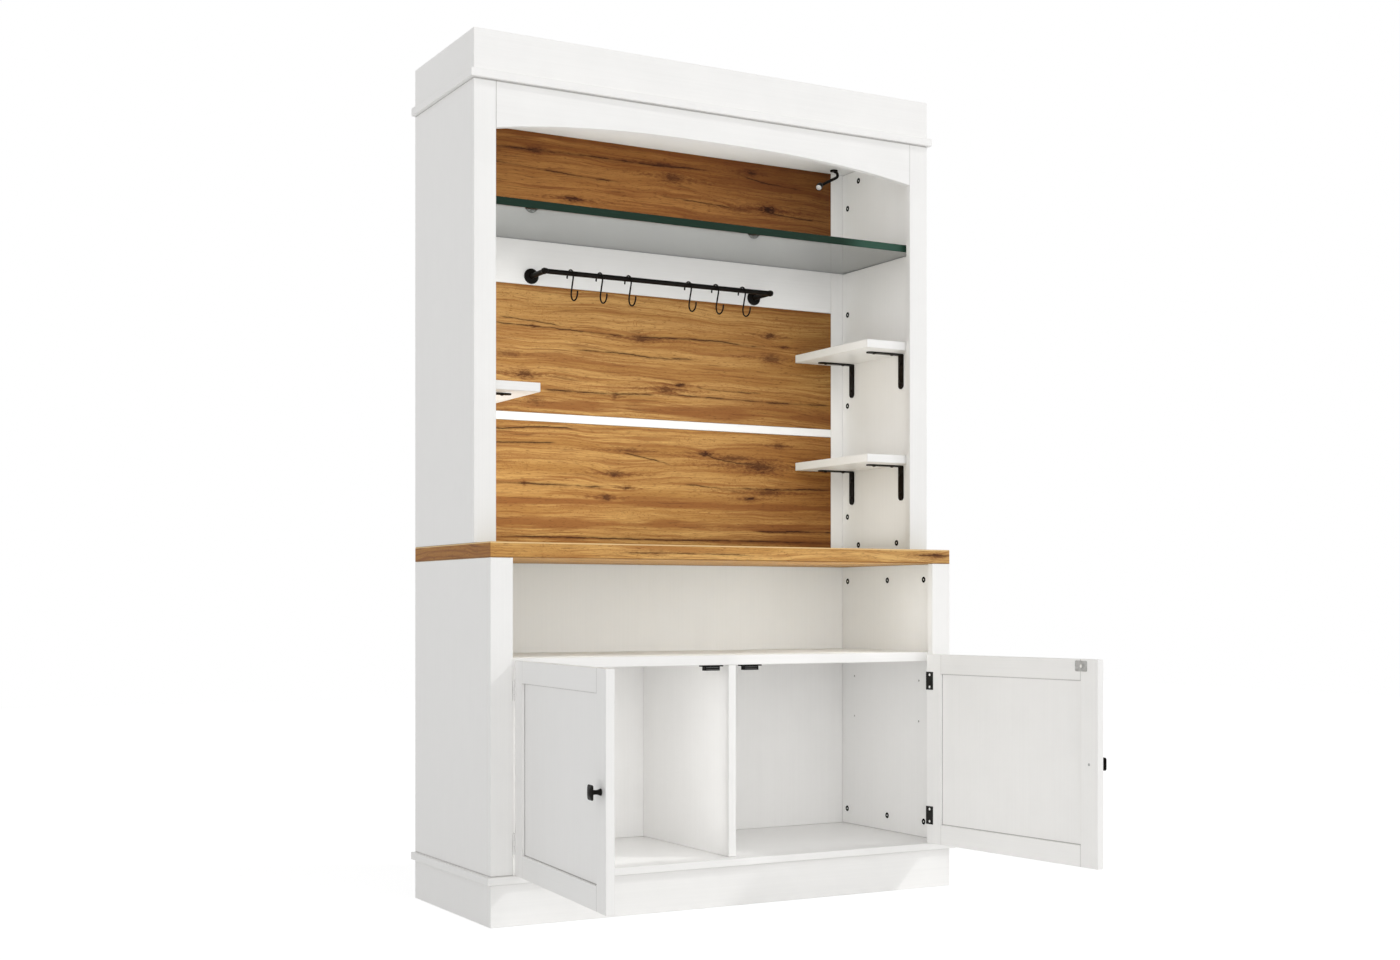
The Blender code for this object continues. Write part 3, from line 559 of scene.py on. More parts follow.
def add_wire(bm, path, radius, across):
    """A round wire along a path in the plane square to across, with domed ends."""
    sides, tip = 16, 0.8
    across = Vector(across)
    path = [Vector(p) for p in path]
    first = (path[0] - path[1]).normalized()
    last = (path[-1] - path[-2]).normalized()
    dome = [(math.sin(a) * tip, max(math.cos(a), 0.02)) for a in (math.pi / 2, math.pi / 3, math.pi / 6)]
    stations = [(path[0] + first * radius * out, share) for out, share in dome]
    stations += [(p, 1.0) for p in path]
    stations += [(path[-1] + last * radius * out, share) for out, share in reversed(dome)]
    rings = []
    for i, (middle, share) in enumerate(stations):
        before = stations[max(i - 1, 0)][0]
        after = stations[min(i + 1, len(stations) - 1)][0]
        outward = (after - before).normalized().cross(across)
        ring = []
        for k in range(sides):
            turn = 2 * math.pi * k / sides
            spoke = outward * math.cos(turn) + across * math.sin(turn)
            ring.append(bm.verts.new(middle + radius * share * spoke))
        rings.append(ring)
    for a, b in zip(rings, rings[1:]):
        for i in range(sides):
            bm.faces.new([a[i], a[(i + 1) % sides], b[(i + 1) % sides], b[i]])
    bm.faces.new(rings[0])
    bm.faces.new(rings[-1])
    return bm


def arc(centre, radius, start, end, steps):
    angles = [math.radians(start + (end - start) * i / steps) for i in range(steps + 1)]
    return [(centre[0] + radius * math.cos(a), centre[1] + radius * math.sin(a)) for a in angles]


def facing(place, direction):
    """A matrix at place with its Z axis along direction."""
    turn = Vector(direction).to_track_quat("Z", "Y").to_matrix().to_4x4()
    return Matrix.Translation(place) @ turn


# Materials of the pieces made here
BLACK = coated("black_coat", COAT_BLACK)
BLACK_PLASTIC = coated("black_plastic", PLASTIC_BLACK, 900.0)
ZINC_METAL = coated("zinc_metal", ZINC, 2200.0, metallic=0.5, strength=0.05)
MAGNET_STEEL = coated("catch_magnet_steel", MAGNET_GREY, 2200.0, metallic=0.3, strength=0.05)
STRIKE_METAL = coated("strike_metal", PLATE_GREY, 2200.0, metallic=0.6, strength=0.05)
GLASS = clear_glass("shelf_glass_face")
GLASS_EDGE = glass_edge("shelf_glass_edge")
# Grey discs of painted shade that stand for the depth of the shelf-pin holes
PIN_HOLE = coated("shelf_pin_hole", PIN_HOLE_SHADE)

# Knots of the oak effect: x, z, half width, half height, lift of the grain, darkness of the heart
UPPER_KNOTS = (
    (-0.304, 1.7733, 0.032, 0.011, 0.008, 0.65),
    (-0.203, 1.6669, 0.034, 0.011, -0.008, 0.9),
    (0.048, 1.7797, 0.045, 0.008, 0.006, 0.55),
    (0.074, 1.7502, 0.044, 0.016, -0.01, 0.55),
    (0.301, 1.7897, 0.026, 0.012, 0.008, 0.7),
    (0.352, 1.7003, 0.04, 0.016, -0.01, 1.0),
    (0.271, 1.6915, 0.05, 0.008, 0.006, 0.2),
)
MIDDLE_KNOTS = (
    (-0.014, 1.3408, 0.042, 0.012, 0.008, 0.65),
    (0.093, 1.2332, 0.026, 0.008, 0.006, 0.95),
    (0.054, 1.2184, 0.04, 0.013, -0.01, 0.52),
    (0.358, 1.3757, 0.024, 0.012, 0.008, 0.7),
    (0.361, 1.3166, 0.04, 0.014, -0.01, 0.5),
    (-0.33, 1.234, 0.035, 0.014, 0.01, 0.55),
    (-0.306, 1.3506, 0.012, 0.005, 0.004, 0.7),
    (0.402, 1.3492, 0.02, 0.006, 0.004, 0.6),
    (-0.088, 1.1952, 0.012, 0.01, 0.004, 0.4),
    (-0.3, 1.169, 0.022, 0.012, 0.004, 0.3),
    (-0.37, 1.28, 0.04, 0.01, 0.004, 0.2),
)
LOWER_KNOTS = (
    (0.167, 1.0632, 0.03, 0.011, 0.01, 1.0),
    (0.328, 1.0365, 0.07, 0.024, -0.012, 0.65),
    (0.25, 1.056, 0.07, 0.01, 0.004, 0.45),
    (0.298, 0.9533, 0.026, 0.01, -0.008, 0.95),
    (0.349, 0.9703, 0.06, 0.012, 0.006, 0.5),
    (-0.088, 1.0034, 0.034, 0.012, 0.01, 0.62),
    (-0.054, 0.9701, 0.018, 0.006, 0.004, 0.9),
    (-0.113, 0.9449, 0.022, 0.012, 0.006, 0.7),
    (0.385, 1.0931, 0.024, 0.01, 0.006, 0.55),
    (-0.05, 1.062, 0.055, 0.009, 0.006, 0.3),
    (-0.33, 0.973, 0.006, 0.008, 0.0, 0.5),
)
TOP_KNOTS = (
    (0.56, 0.801, 0.032, 0.008, 0.006, 0.75),
    (-0.2, 0.796, 0.04, 0.008, -0.006, 0.2),
    (-0.34, 0.89, 0.034, 0.012, 0.01, 0.8),
    (0.12, 1.03, 0.04, 0.014, -0.012, 0.45),
    (0.42, 0.93, 0.028, 0.01, 0.008, 0.9),
    (-0.1, 1.16, 0.032, 0.011, 0.008, 0.6),
)
# Fine cracks along the grain: half width, then x and z of each point
UPPER_CRACKS = (
    (0.0014, -0.44, 1.772, -0.304, 1.7735, -0.124, 1.7761, 0.037, 1.7759, 0.111, 1.7797, 0.2, 1.781),
    (0.0012, -0.45, 1.737, -0.401, 1.7351, -0.274, 1.7289, -0.156, 1.7233, -0.06, 1.722),
    (0.0009, 0.24, 1.79, 0.33, 1.77, 0.46, 1.762),
    (0.0009, 0.03, 1.701, 0.14, 1.698, 0.26, 1.693),
    (0.001, 0.33, 1.696, 0.43, 1.688, 0.55, 1.687),
)
MIDDLE_CRACKS = (
    (0.001, -0.44, 1.3545, -0.401, 1.3529, -0.305, 1.3507, -0.167, 1.3467, -0.039, 1.344),
    (0.0014, -0.06, 1.344, 0.012, 1.3464, 0.1, 1.349, 0.189, 1.3506, 0.289, 1.345, 0.355, 1.3446),
    (0.0014, -0.3, 1.201, -0.23, 1.1995, -0.137, 1.1997, -0.052, 1.2022, 0.037, 1.2049),
    (0.0011, 0.02, 1.2045, 0.1, 1.2065, 0.189, 1.2061, 0.28, 1.205, 0.361, 1.203),
    (0.0013, 0.33, 1.2035, 0.43, 1.204, 0.546, 1.2054),
    (0.0012, -0.21, 1.3011, -0.063, 1.3012, 0.02, 1.296, 0.094, 1.2985, 0.16, 1.3),
    (0.0009, -0.401, 1.368, -0.33, 1.364, -0.23, 1.356),
    (0.0009, 0.13, 1.232, 0.24, 1.225, 0.34, 1.227),
)
LOWER_CRACKS = (
    (0.0015, -0.44, 0.9735, -0.401, 0.9731, -0.226, 0.9718, -0.16, 0.97, -0.101, 0.9723),
    (0.0014, 0.2, 0.9765, 0.253, 0.9785, 0.388, 0.9793, 0.46, 0.982, 0.56, 0.9839),
    (0.0013, -0.44, 1.1, -0.401, 1.1013, -0.34, 1.106, -0.274, 1.1099, -0.18, 1.109),
    (0.0012, -0.44, 1.067, -0.401, 1.0681, -0.34, 1.07, -0.24, 1.0734),
    (0.0016, 0.3, 0.8698, 0.355, 0.8698, 0.45, 0.872, 0.58, 0.8711),
    (0.0013, -0.44, 0.844, -0.2, 0.845, 0.05, 0.8436, 0.32, 0.8446, 0.58, 0.844),
    (0.001, -0.07, 1.0563, 0.0, 1.046, 0.074, 1.0293),
    (0.001, 0.16, 1.064, 0.2, 1.052, 0.26, 1.044, 0.33, 1.042),
    (0.0009, 0.1, 0.985, 0.18, 0.98, 0.29, 0.965),
)
TOP_CRACKS = (
    (0.0009, 0.5, 0.8005, 0.56, 0.801, 0.6, 0.8),
    (0.0008, -0.3, 0.795, -0.12, 0.796, 0.05, 0.794),
    (0.0012, -0.56, 0.935, -0.3, 0.93, -0.08, 0.942, 0.15, 0.94),
    (0.0012, -0.05, 1.07, 0.18, 1.064, 0.38, 1.072, 0.58, 1.068),
)
# Red bands: height, half height; along the panels' top and bottom edges they are partly painted shade
UPPER_RED = ((1.812, 0.009),)
MIDDLE_RED = ((1.168, 0.019), (1.447, 0.006))
LOWER_RED = ((0.844, 0.006), (0.88, 0.014), (0.932, 0.01))
# Tint of each board towards the left and towards the right
UPPER_TINTS = ((0.49, 0.39, 0.315), (0.345, 0.26, 0.21))
MIDDLE_TINTS = ((0.78, 0.78, 0.79), (0.57, 0.53, 0.47))
LOWER_TINTS = ((0.81, 0.81, 0.8), (0.54, 0.455, 0.37))
TOP_TINTS = ((1.12, 1.2, 1.28), (1.02, 1.12, 1.28))

# Painted shade lines along the boards' joints: start of the board's name, then the shade line
BOARD_SHADE_LINES = (
    ("base_side", (2, 0, 0.002, 0.35)),
    ("base_stile", (2, 0, 0.002, 0.35)),
    ("plinth", (2, 1, 0.0022, 0.4)),
    ("hutch_side", (2, 1, 0.0022, 0.35)),
    ("hutch_stile", (2, 1, 0.003, 0.5)),
    ("crown_frieze", (2, 0, 0.0022, 0.4)),
)


def dress(node, look):
    node.data.materials.clear()
    node.data.materials.append(look)


def finish_boards():
    """Paint and oak effect on the boards of the frame that stay."""
    oaks = {
        "back_panel_upper": oak("oak_upper", UPPER_KNOTS, UPPER_RED, UPPER_CRACKS, UPPER_TINTS, (0.0, 0.5)),
        "back_panel_middle": oak("oak_middle", MIDDLE_KNOTS, MIDDLE_RED, MIDDLE_CRACKS, MIDDLE_TINTS),
        "back_panel_lower": oak("oak_lower", LOWER_KNOTS, LOWER_RED, LOWER_CRACKS, LOWER_TINTS),
        "countertop": oak("oak_worktop", TOP_KNOTS, (), TOP_CRACKS, TOP_TINTS, arrises=WORKTOP_Z),
    }
    lying = ("plinth", "bottom", "base_shelf", "back_batten", "back_rail", "hutch_top", "crown", "side_shelf")
    plain = ("lamp", "hook", "bracket", "knob", "hinge", "catch", "glass")
    for name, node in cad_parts.items():
        if name in oaks:
            look = oaks[name]
        elif any(word in name for word in plain):
            continue
        else:
            low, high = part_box(name)
            shade_lines = [shade_line for start, shade_line in BOARD_SHADE_LINES if name.startswith(start)]
            if name.endswith("door_panel"):
                lap = DOOR_Z[0] + BOTTOM_RAIL - low[2]
                # Painted shadow lines along the panel's edges, where it sits in the frame's recess
                shade_lines = [(1, 2, lap + 0.0028, 0.85), (2, 2, lap + 0.0028, 0.85)]
            look = painted("paint_" + name, low, high, not name.startswith(lying), shade_lines)
        dress(node, look)


def door_place(side):
    """Where a door stands at rest: hung on its pins and opened."""
    turn = Matrix.Rotation(side * math.radians(OPENED[side]), 4, "Z")
    return Matrix.Translation((side * PIN_X, PIN_Y, 0.0)) @ turn


def make_door_members(side, word):
    """Two stiles the full height and two rails between them, grooved for the panel, as four boards."""
    x0, x1 = DOOR_X
    z0, z1 = DOOR_Z
    y0, y1 = DOOR_Y
    g0, g1 = GROOVE_Y
    place = door_place(side)

    def grooved(back, edge, groove):
        return ((back, y0), (edge, y0), (edge, g0), (groove, g0), (groove, g1), (edge, g1), (edge, y1), (back, y1))

    def stile(name, *across):
        return name, [(-side * x, y, z0) for x, y in grooved(*across)], (0, 0, z1 - z0)

    def rail(name, *across):
        start = x0 + STILE_W + SEAM
        length = x1 - STILE_W - SEAM - start
        return name, [(-side * start, y, z) for z, y in grooved(*across)], (-side * length, 0, 0)

    inner0, inner1 = x0 + STILE_W, x1 - STILE_W
    low, high = z0 + BOTTOM_RAIL, z1 - TOP_RAIL
    members = (
        stile("hinge_stile", x0, inner0, inner0 - GROOVE_DEEP),
        stile("meeting_stile", x1, inner1, inner1 + GROOVE_DEEP),
        rail("bottom_rail", z0, low, low - GROOVE_DEEP),
        rail("top_rail", z1, high, high + GROOVE_DEEP),
    )
    for name, outline, along in members:
        board = extruded(outline, along)
        low_corner, high_corner = ([end(v.co[i] for v in board.verts) for i in range(3)] for end in (min, max))
        # Painted shade in the butt joints at the rails' ends
        shade_lines = ((0, 2, 0.0012, 0.4),) if "rail" in name else ()
        look = painted(f"paint_{word}_{name}", low_corner, high_corner, "stile" in name, shade_lines)
        stands_for = f"{word}_door_frame"
        piece(f"{word}_door_{name}", board, look, stands_for, place, f"{word}_door", bevel=0.0006)


def make_knob(side, word):
    """A round foot and neck and a square, pillowed head; the profile is (radius, height, squareness)."""
    profile = [(0, 0.0003), (0.0066, 0.0003), (0.0066, 0.002), (0.006, 0.0032), (0.005, 0.0055)]
    profile += [(0.0044, 0.0085), (0.0043, 0.0115), (0.0047, 0.015), (0.0056, 0.018)]
    profile += [(0.008, 0.0192, 3), (0.012, 0.0198, 5), (0.014, 0.0201, 8), (0.0144, 0.0206, 8)]
    profile += [(0.0144, 0.0212, 8), (0.014, 0.0219, 8), (0.012, 0.023, 6), (0.009, 0.0243, 4)]
    profile += [(0.0055, 0.0255, 3), (0.0025, 0.0261), (0, 0.0262)]
    seat = door_place(side) @ facing((-side * KNOB_X, DOOR_Y[0], KNOB_Z), (0, -1, 0))
    bm = add_turned(bmesh.new(), profile, seat, 64)
    piece(f"{word}_knob", bm, BLACK, f"{word}_door_knob", body=f"{word}_door")
    screw = [(0, 0), (0.003, 0), (0.003, 0.0006), (0.0024, 0.0012), (0, 0.0014)]
    seat = door_place(side) @ facing((-side * KNOB_X, DOOR_Y[1], KNOB_Z), (0, 1, 0))
    bm = add_turned(bmesh.new(), screw, seat, 24)
    piece(f"{word}_knob_screw", bm, STRIKE_METAL, body=f"{word}_door")


def make_strike(side, word):
    """The steel plate that the magnet holds, on the door's inner face near its top."""
    middle, half_w, low, high, soft = 0.498, 0.0175, 0.5358, 0.5593, 0.003
    outline = []
    for quarter, (u, z) in enumerate(((1, high - soft), (-1, high - soft), (-1, low + soft), (1, low + soft))):
        corner = arc((u * (half_w - soft), z), soft, 90 * quarter, 90 * quarter + 90, 5)
        outline += [(middle + x, z) for x, z in corner]
    points = [(-side * x, DOOR_Y[1] + 0.0001, z) for x, z in outline]
    bm = extruded(points, (0, 0.0005, 0))
    place, door = door_place(side), f"{word}_door"
    piece(f"{word}_strike_plate", bm, STRIKE_METAL, None, place, door, bevel=0.0002)
    screw = [(0.0036, 0), (0.0033, 0.0001), (0.0012, 0.0002), (0, 0.0001)]
    seat = facing((-side * middle, DOOR_Y[1] + 0.0006, 0.5475), (0, 1, 0))
    bm = add_turned(bmesh.new(), screw, seat, 24)
    piece(f"{word}_strike_screw", bm, ZINC_METAL, None, place, door)


def make_hinge_screws(side, word):
    """Two countersunk screws in each leaf of each hinge."""
    screw = [(0, -0.0004), (0.0031, -0.0004), (0.0031, 0.0001), (0.0026, 0.0005), (0.0012, 0.0006), (0, 0.0003)]
    from_pin, from_middle, stile_leaf_y = 0.013, 0.0145, 0.0103
    for middle, spot in zip(HINGE_Z, ("lower", "upper")):
        on_door, on_stile = bmesh.new(), bmesh.new()
        for z in (middle - from_middle, middle + from_middle):
            add_turned(on_door, screw, facing((-side * from_pin, DOOR_Y[1] + 0.0012, z), (0, 1, 0)), 20)
            add_turned(on_stile, screw, facing((side * (PIN_X + from_pin), stile_leaf_y, z), (0, 1, 0)), 20)
        name = f"{word}_{spot}_hinge_screws"
        piece(name + "_door", on_door, ZINC_METAL, None, door_place(side), f"{word}_door")
        piece(name + "_stile", on_stile, ZINC_METAL)


def make_catch(side, word):
    """A magnetic catch under the shelf: screw plate, housing, two steel faces with the magnet between."""
    x = side * 0.05105
    y0, y1 = 0.011, 0.025
    top = SHELF_Z - 0.0003
    bm = bmesh.new()
    add_box(bm, (x - 0.028, x + 0.028), (y0, y1), (top - 0.003, top))
    add_box(bm, (x - 0.0195, x + 0.0195), (y0 + 0.0004, y1), (top - 0.0122, top - 0.0029))
    piece(f"{word}_catch_housing", bm, BLACK_PLASTIC, f"{word}_magnetic_catch", bevel=0.0007)
    bm = bmesh.new()
    for low in (0.0042, 0.009):
        add_box(bm, (x - 0.0165, x + 0.0165), (y0 - 0.0003, y0 + 0.002), (top - low - 0.0016, top - low))
    piece(f"{word}_catch_plates", bm, MAGNET_STEEL)


def make_bracket(name, side, under, y):
    """A bent flat bar with round ends and four screws, one leg on the side, the other under the shelf."""
    thick, wide, leg, drop, bend = 0.003, 0.02, 0.1045, 0.087, 0.004
    half_t, half_w = thick / 2, wide / 2
    turns = [math.radians(7.5 * i) for i in range(1, 13)]
    ends = [(half_w * (1 - math.cos(a)), half_w * math.sin(a)) for a in turns]
    quarter = arc((-bend, -bend), bend - half_t, 0, 90, 8)
    stations = [(-half_t, s - drop, w, 0) for s, w in ends]
    stations += [(u, v, half_w, math.radians(11.25 * i)) for i, (u, v) in enumerate(quarter)]
    stations += [(s - leg, -half_t, w, math.pi / 2) for s, w in reversed(ends)]
    bm = bmesh.new()
    rings = []
    for u, v, half, turn in stations:
        outer = Vector((math.cos(turn), 0, math.sin(turn))) * half_t
        corners = ((1, 1), (1, -1), (-1, -1), (-1, 1))
        ring = [Vector((u, 0, v)) + outer * a + Vector((0, half * b, 0)) for a, b in corners]
        rings.append([bm.verts.new((side * p.x, p.y, p.z)) for p in ring])
    for a, b in zip(rings, rings[1:]):
        for i in range(4):
            bm.faces.new([a[i], a[(i + 1) % 4], b[(i + 1) % 4], b[i]])
    bm.faces.new(rings[0])
    bm.faces.new(rings[-1])
    place = Matrix.Translation((side * (INNER - 0.0003), y, under - 0.0003))
    piece(name + "_bar", bm, BLACK, name, place, bevel=0.0006)
    head = [(0.0044, 0), (0.0043, 0.0008), (0.0034, 0.0018), (0.0018, 0.0023), (0, 0.0024)]
    bm = bmesh.new()
    for reach in (0.029, 0.083):
        add_turned(bm, head, facing((-side * reach, 0, -thick), (0, 0, -1)), 24)
        add_turned(bm, head, facing((-side * thick, 0, -0.83 * reach), (-side, 0, 0)), 24)
    piece(name + "_screws", bm, BLACK, place=place)


def make_rail():
    """The bar with soft tips, and at each end a post with its wall flange and a round elbow."""
    bm = bmesh.new()
    half, soft = RAIL_SPAN / 2 + 0.008, 0.0018
    tip = [(RAIL_R, half - soft), (RAIL_R - 0.3 * soft, half - 0.3 * soft), (RAIL_R - soft, half), (0, half)]
    profile = [(r, -h) for r, h in reversed(tip)] + tip
    add_turned(bm, profile, Matrix.Rotation(math.pi / 2, 4, "Y"), 32)
    post = [(0, 0.0003), (0.0185, 0.0003), (0.0185, 0.0028), (0.018, 0.004), (0.0166, 0.0048)]
    post += [(0.009, 0.005), (0.0072, 0.0056), (0.0063, 0.0072), (0.0062, 0.01), (0.0062, 0.0868)]
    post += [(0.0058, 0.0884), (0.0044, 0.0896), (0, 0.09)]
    elbow = [(0, -ELBOW_R), *arc((0.0, 0.0), ELBOW_R, -80, 80, 16), (0, ELBOW_R)]
    for side in (LEFT, RIGHT):
        seat = Matrix.Translation((side * RAIL_SPAN / 2, 0.08, 0)) @ Matrix.Rotation(math.pi / 2, 4, "X")
        add_turned(bm, post, seat, 32)
        add_turned(bm, elbow, Matrix.Translation((side * (RAIL_SPAN / 2 + 0.001), 0, 0)), 32)
    piece("hanging_rail", bm, BLACK, "hook_rail", Matrix.Translation(RAIL), smooth=35)


def hook_path():
    """Points (y, z) of the bent wire about the bar's middle: upper loop, straight stem, lower curl."""
    loop_r, curl_r, spread = 0.0174, 0.0178, 0.0468
    loop_start, curl_end, steps = 33.0, -154.0, 36
    slope = math.degrees(math.acos((loop_r + curl_r) / spread))
    path = arc((0.0, 0.0), loop_r, loop_start, 270 - slope, steps)
    path += arc((0.0, -spread), curl_r, 90 - slope, curl_end, steps)
    lean = Matrix.Rotation(-math.radians(30.0), 2)
    bearing = math.radians(23.0)
    loop = Vector((math.sin(bearing), -math.cos(bearing))) * (loop_r - HOOK_WIRE_R - RAIL_R - 0.0003)
    return [loop + lean @ Vector(p) for p in path]


def make_hooks():
    path = [(0, y, z) for y, z in hook_path()]
    for number, x in enumerate(HOOK_X, start=1):
        bm = add_wire(bmesh.new(), path, HOOK_WIRE_R, (1, 0, 0))
        place = Matrix.Translation((x, RAIL.y, RAIL.z))
        name = f"hook_{number}"
        piece(name + "_wire", bm, BLACK, f"s_hook_{number}", place, name, smooth=60)


def make_glass():
    """The pane, with its own material on the ground edges."""
    bm = bmesh.new()
    add_box(bm, (-GLASS_X, GLASS_X), GLASS_Y, GLASS_Z)
    for face in bm.faces:
        face.material_index = 0 if abs(face.normal.z) > 0.5 else 1
    piece("glass_shelf_pane", bm, (GLASS, GLASS_EDGE), "glass_shelf", bevel=0.0008)


def make_lamp():
    """Round base, bent neck, and a turned head with a bright reflector and lens."""
    base = [(0, -0.0003), (0.01, -0.0003), (0.01, -0.003), (0.0092, -0.004), (0, -0.0043)]
    bm = add_turned(bmesh.new(), base, Matrix.Identity(4), 40)
    neck_r, straight, slope = 0.0037, 0.058, math.radians(28.0)
    bend = [(x, 0, z) for x, z in arc((0.0034, -0.0119), 0.008, 100, -62, 24)]
    end = Vector(bend[-1]) - straight * Vector((math.cos(slope), 0, math.sin(slope)))
    add_wire(bm, bend + [end], neck_r, (0, 1, 0))
    aim = facing(end, (-0.62, -0.45, -0.64))
    shell = [(0, -0.01), (0.0042, -0.0092), (0.0066, -0.007), (0.0082, -0.002), (0.0085, 0.002)]
    shell += [(0.0085, 0.0096), (0.0081, 0.01), (0.0076, 0.0096), (0.006, 0.004), (0, 0.004)]
    add_turned(bm, shell, aim, 40)
    place = Matrix.Translation(LAMP_ROOT)
    piece("spot_lamp_body", bm, BLACK, "spot_lamp", place)
    lens = [(0.0074, 0.0086), (0.007, 0.0094), (0.005, 0.0098), (0, 0.0099)]
    bm = add_turned(bmesh.new(), lens, aim, 40)
    piece("spot_lamp_lens", bm, ZINC_METAL, place=place, smooth=60)


# Places (y, z) on the inner face of each side
HUTCH_CAMS = ((0.358, 1.787), (0.4085, 1.724), (0.4085, 1.4445), (0.409, 1.205), (0.409, 0.913))
HUTCH_CAMS += ((0.358, 0.838), (0.188, 0.838))
BASE_CAMS = ((0.408, 0.7437), (0.228, 0.744), (0.0735, 0.7437), (0.41, 0.1466), (0.229, 0.1466), (0.0735, 0.147))
SHELF_PINS = ((0.376, 0.496), (0.376, 0.392), (0.093, 0.494), (0.094, 0.393))


def make_cam_locks(side, word):
    """The round fittings that draw the boards together, each in a ring of painted shade, on the sides' inner
    faces.
    """
    # Dark ring of painted shade round each cam, where its recess would be in shade
    shade_ring = [(0.0074, 0.0001), (0.0072, 0.00045), (0.0022, 0.00045), (0.002, 0.0001)]
    cam = [(0.0019, 0.0001), (0.0018, 0.0004), (0.0009, 0.0004), (0, 0.0002)]
    hole = [(0.0026, 0.0001), (0.0025, 0.0002), (0, 0.0002)]
    shade_rings, cams, holes = bmesh.new(), bmesh.new(), bmesh.new()
    for y, z in HUTCH_CAMS + BASE_CAMS:
        seat = facing((side * INNER, y, z), (-side, 0, 0))
        add_turned(shade_rings, shade_ring, seat, 28)
        add_turned(cams, cam, seat, 28)
    # Painted shade for the shelf-pin holes
    for y, z in SHELF_PINS:
        add_turned(holes, hole, facing((side * INNER, y, z), (-side, 0, 0)), 20)
    piece(f"{word}_shelf_pin_holes", holes, PIN_HOLE)
    piece(f"{word}_cam_lock_shade_rings", shade_rings, BLACK_PLASTIC)
    piece(f"{word}_cam_locks", cams, ZINC_METAL)


def make_valance():
    """The arched board over the opening, with a smooth arch."""
    reach, steps = 0.5482, 96
    crown, rise = TOP_Z - 0.0665, 0.0355
    outline = [(reach, HUTCH_FRONT, TOP_Z - 0.0003), (-reach, HUTCH_FRONT, TOP_Z - 0.0003)]
    for i in range(steps + 1):
        x = reach * (2 * i / steps - 1)
        outline.append((x, HUTCH_FRONT, crown - rise * abs(x / reach) ** 2.6))
    # Painted shade along the top, under the crown, and at both ends
    shade_lines = ((2, 1, 0.003, 0.5), (0, 2, 0.0012, 0.35))
    look = painted("paint_valance", *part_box("arched_valance"), False, shade_lines)
    bm = extruded(outline, (0, 0.0155, 0))
    piece("valance_board", bm, look, "arched_valance", smooth=20, bevel=0.0007)


def hinge_coat(name, outward):
    """Black coat inside, and the frame's white paint on what looks outward once the door is hung."""
    material, g, shader = new_material(name)
    coordinates = g.coordinates()
    coat = g.grouped(POWDER_COAT, Place=coordinates["Object"], Base=COAT_BLACK, Pebble=1400.0)
    painted_over = g.ramp(g.measured("DOT_PRODUCT", coordinates["Normal"], outward), 0.15, 0.25)
    colour = g.blend(painted_over, coat["Colour"], PAINT_WHITE)
    g.finish(shader, Base_Color=colour, Roughness=coat["Roughness"], Specular_IOR_Level=0.25)
    bumped(g, shader, coat["Height"], 0.15, 0.0002)
    return material


def finish_fittings():
    """The hinge leaves keep the frame's meshes."""
    coats = {word: hinge_coat(word + "_hinge_coat", (side * 0.45, -0.89, 0.0)) for side, word in SIDES}
    for name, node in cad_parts.items():
        if "hinge" in name:
            dress(node, coats[name.split("_")[0]])


def make_pieces():
    finish_boards()
    finish_fittings()
    make_valance()
    for side, word in SIDES:
        for make in (make_door_members, make_knob, make_strike, make_hinge_screws, make_catch, make_cam_locks):
            make(side, word)
    for name, (side, under) in BRACKETS.items():
        for spot, y in BRACKET_Y.items():
            make_bracket(f"{name}_{spot}", side, under, y)
    make_rail()
    make_hooks()
    make_glass()
    make_lamp()


# Stage, light, camera

FLOOR_WHITE = (0.94, 0.94, 0.935)
FLOOR_GLOW, FLOOR_SHADOWED = 0.835, (0.3, 0.3, 0.3)
FLOOR_REACH = 9.0  # half the floor's width
SOFT_ROUND = 0.485  # soft light from all round
SOFT_LOBES = (  # further soft light: from where, how tightly gathered, how strong
    ((-0.5, -0.87, 0.08), 4.0, 0.93),
    ((0.35, -0.94, 0.08), 4.0, 0.42),
)
KEY_DIRECTION = (-1.0, 0.55, -0.98)
KEY_POWER = 0.75
KEY_ANGLE = 3.5  # degrees across
FILLS = {  # soft light thrown into the compartments: middle, direction, width, height, watts
    "from_worktop": ((0.0, 0.26, 0.835), (0, 0, 1), 1.1, 0.26, 0.45),
    "into_hutch": ((0.0, 0.105, 1.25), (0, 1, 0), 1.08, 0.84, 1.3),
    "across_hutch": ((-0.5, 0.26, 1.18), (1, 0, 0), 0.24, 0.6, 0.6),
    "over_glass": ((-0.05, 0.27, 1.585), (0, 0, 1), 1.0, 0.26, 0.92),
    "into_bay": ((-0.09, 0.014, 0.655), (0, 1, 0), 0.92, 0.14, 0.49),
    "into_bay_right": ((0.31, 0.03, 0.68), (0.8, 1, 0), 0.24, 0.1, 0.18),
    "across_doors": ((-0.02, -0.32, 0.36), (1, 0, 0), 0.36, 0.36, 0.45),
    "into_left_cupboard": ((-0.262, 0.014, 0.325), (0, 1, 0), 0.46, 0.38, 0.34),
    "into_right_cupboard": ((0.262, 0.014, 0.325), (0, 1, 0), 0.46, 0.38, 0.13),
}


def looked_at(g):
    """1 for the rays that the camera sees straight, in a reflection or through glass."""
    rays = g.node("ShaderNodeLightPath").outputs
    seen = g.plus(rays["Is Camera Ray"], rays["Is Glossy Ray"])
    return g.math("ADD", seen, rays["Is Transmission Ray"], clamp=True)


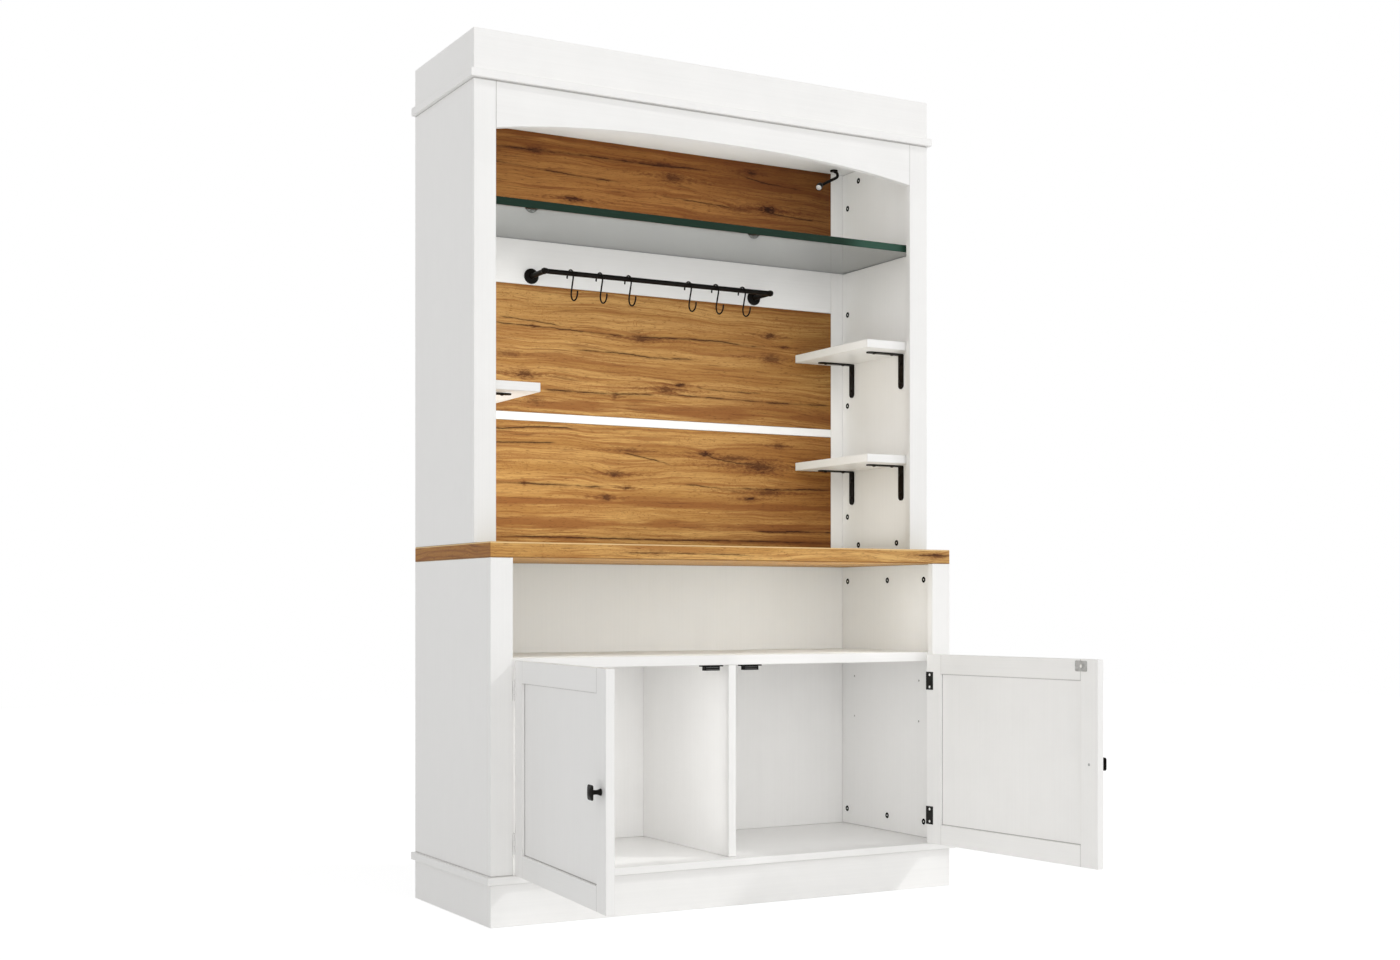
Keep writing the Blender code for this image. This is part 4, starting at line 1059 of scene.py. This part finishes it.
def make_stage():
    """A matt white floor; where it is looked at it glows white and keeps the cabinet's shadow."""
    material, g, shader = new_material("studio_floor_white")
    g.finish(shader, Base_Color=FLOOR_WHITE, Roughness=0.9, Specular_IOR_Level=0.1)
    glow = g.node("ShaderNodeEmission", {"Color": (1.0, 1.0, 1.0), "Strength": FLOOR_GLOW}).outputs[0]
    matt = g.node("ShaderNodeBsdfDiffuse", {"Color": FLOOR_SHADOWED}).outputs[0]
    seen = g.node("ShaderNodeAddShader", {0: glow, 1: matt}).outputs[0]
    output = material.node_tree.nodes["Material Output"]
    g.finish(output, Surface=g.mixed_shader(looked_at(g), shader.outputs[0], seen))
    bm = bmesh.new()
    corners = ((-1, -1), (1, -1), (1, 1), (-1, 1))
    bm.faces.new([bm.verts.new((FLOOR_REACH * x, FLOOR_REACH * y, 0.0)) for x, y in corners])
    below = Matrix.Translation((0.0, 0.0, -0.0006))
    placed("studio_floor", mesh_of("studio_floor", bm, material), below)


def make_world():
    """Soft light from all round and, where the world is looked at, plain white."""
    world = bpy.data.worlds.new("studio")
    bpy.context.scene.world = world
    world.use_nodes = True
    g = Graph(world.node_tree)
    background = world.node_tree.nodes["Background"]
    g.fill(background.inputs["Color"], (1.0, 1.0, 1.0))
    direction = g.coordinates()["Generated"]
    soft = SOFT_ROUND
    for from_where, gathered, strength in SOFT_LOBES:
        towards = g.measured("DOT_PRODUCT", direction, Vector(from_where).normalized())
        lobe = g.math("POWER", g.larger(towards, 0.0), gathered)
        soft = g.plus(soft, g.times(lobe, strength))
    white = g.times(looked_at(g), g.minus(1.0, soft))
    g.fill(background.inputs["Strength"], g.plus(soft, white))


def make_lights():
    key = bpy.data.lights.new("key", "SUN")
    key.energy = KEY_POWER
    key.angle = math.radians(KEY_ANGLE)
    placed("key", key, facing((3.0, -2.0, 3.0), -Vector(KEY_DIRECTION)))
    for name, (middle, direction, width, height, watts) in FILLS.items():
        fill = bpy.data.lights.new(name, "AREA")
        fill.shape = "RECTANGLE"
        fill.size, fill.size_y = width, height
        fill.energy = watts
        lamp = placed(name, fill, facing(middle, -Vector(direction)))
        lamp.visible_camera = lamp.visible_glossy = lamp.visible_transmission = False


def make_camera():
    camera = bpy.data.cameras.new("photograph")
    camera.sensor_width = 36.0
    camera.lens = CAMERA_LENS
    camera.shift_y = CAMERA_SHIFT_Y
    obj = placed("photograph", camera)
    obj.location = CAMERA_PLACE
    obj.rotation_euler = (math.pi / 2, 0.0, math.radians(CAMERA_TURN))
    bpy.context.scene.camera = obj


make_pieces()
make_stage()
make_world()
make_lights()
make_camera()
bpy.context.scene.view_settings.view_transform = "Standard"
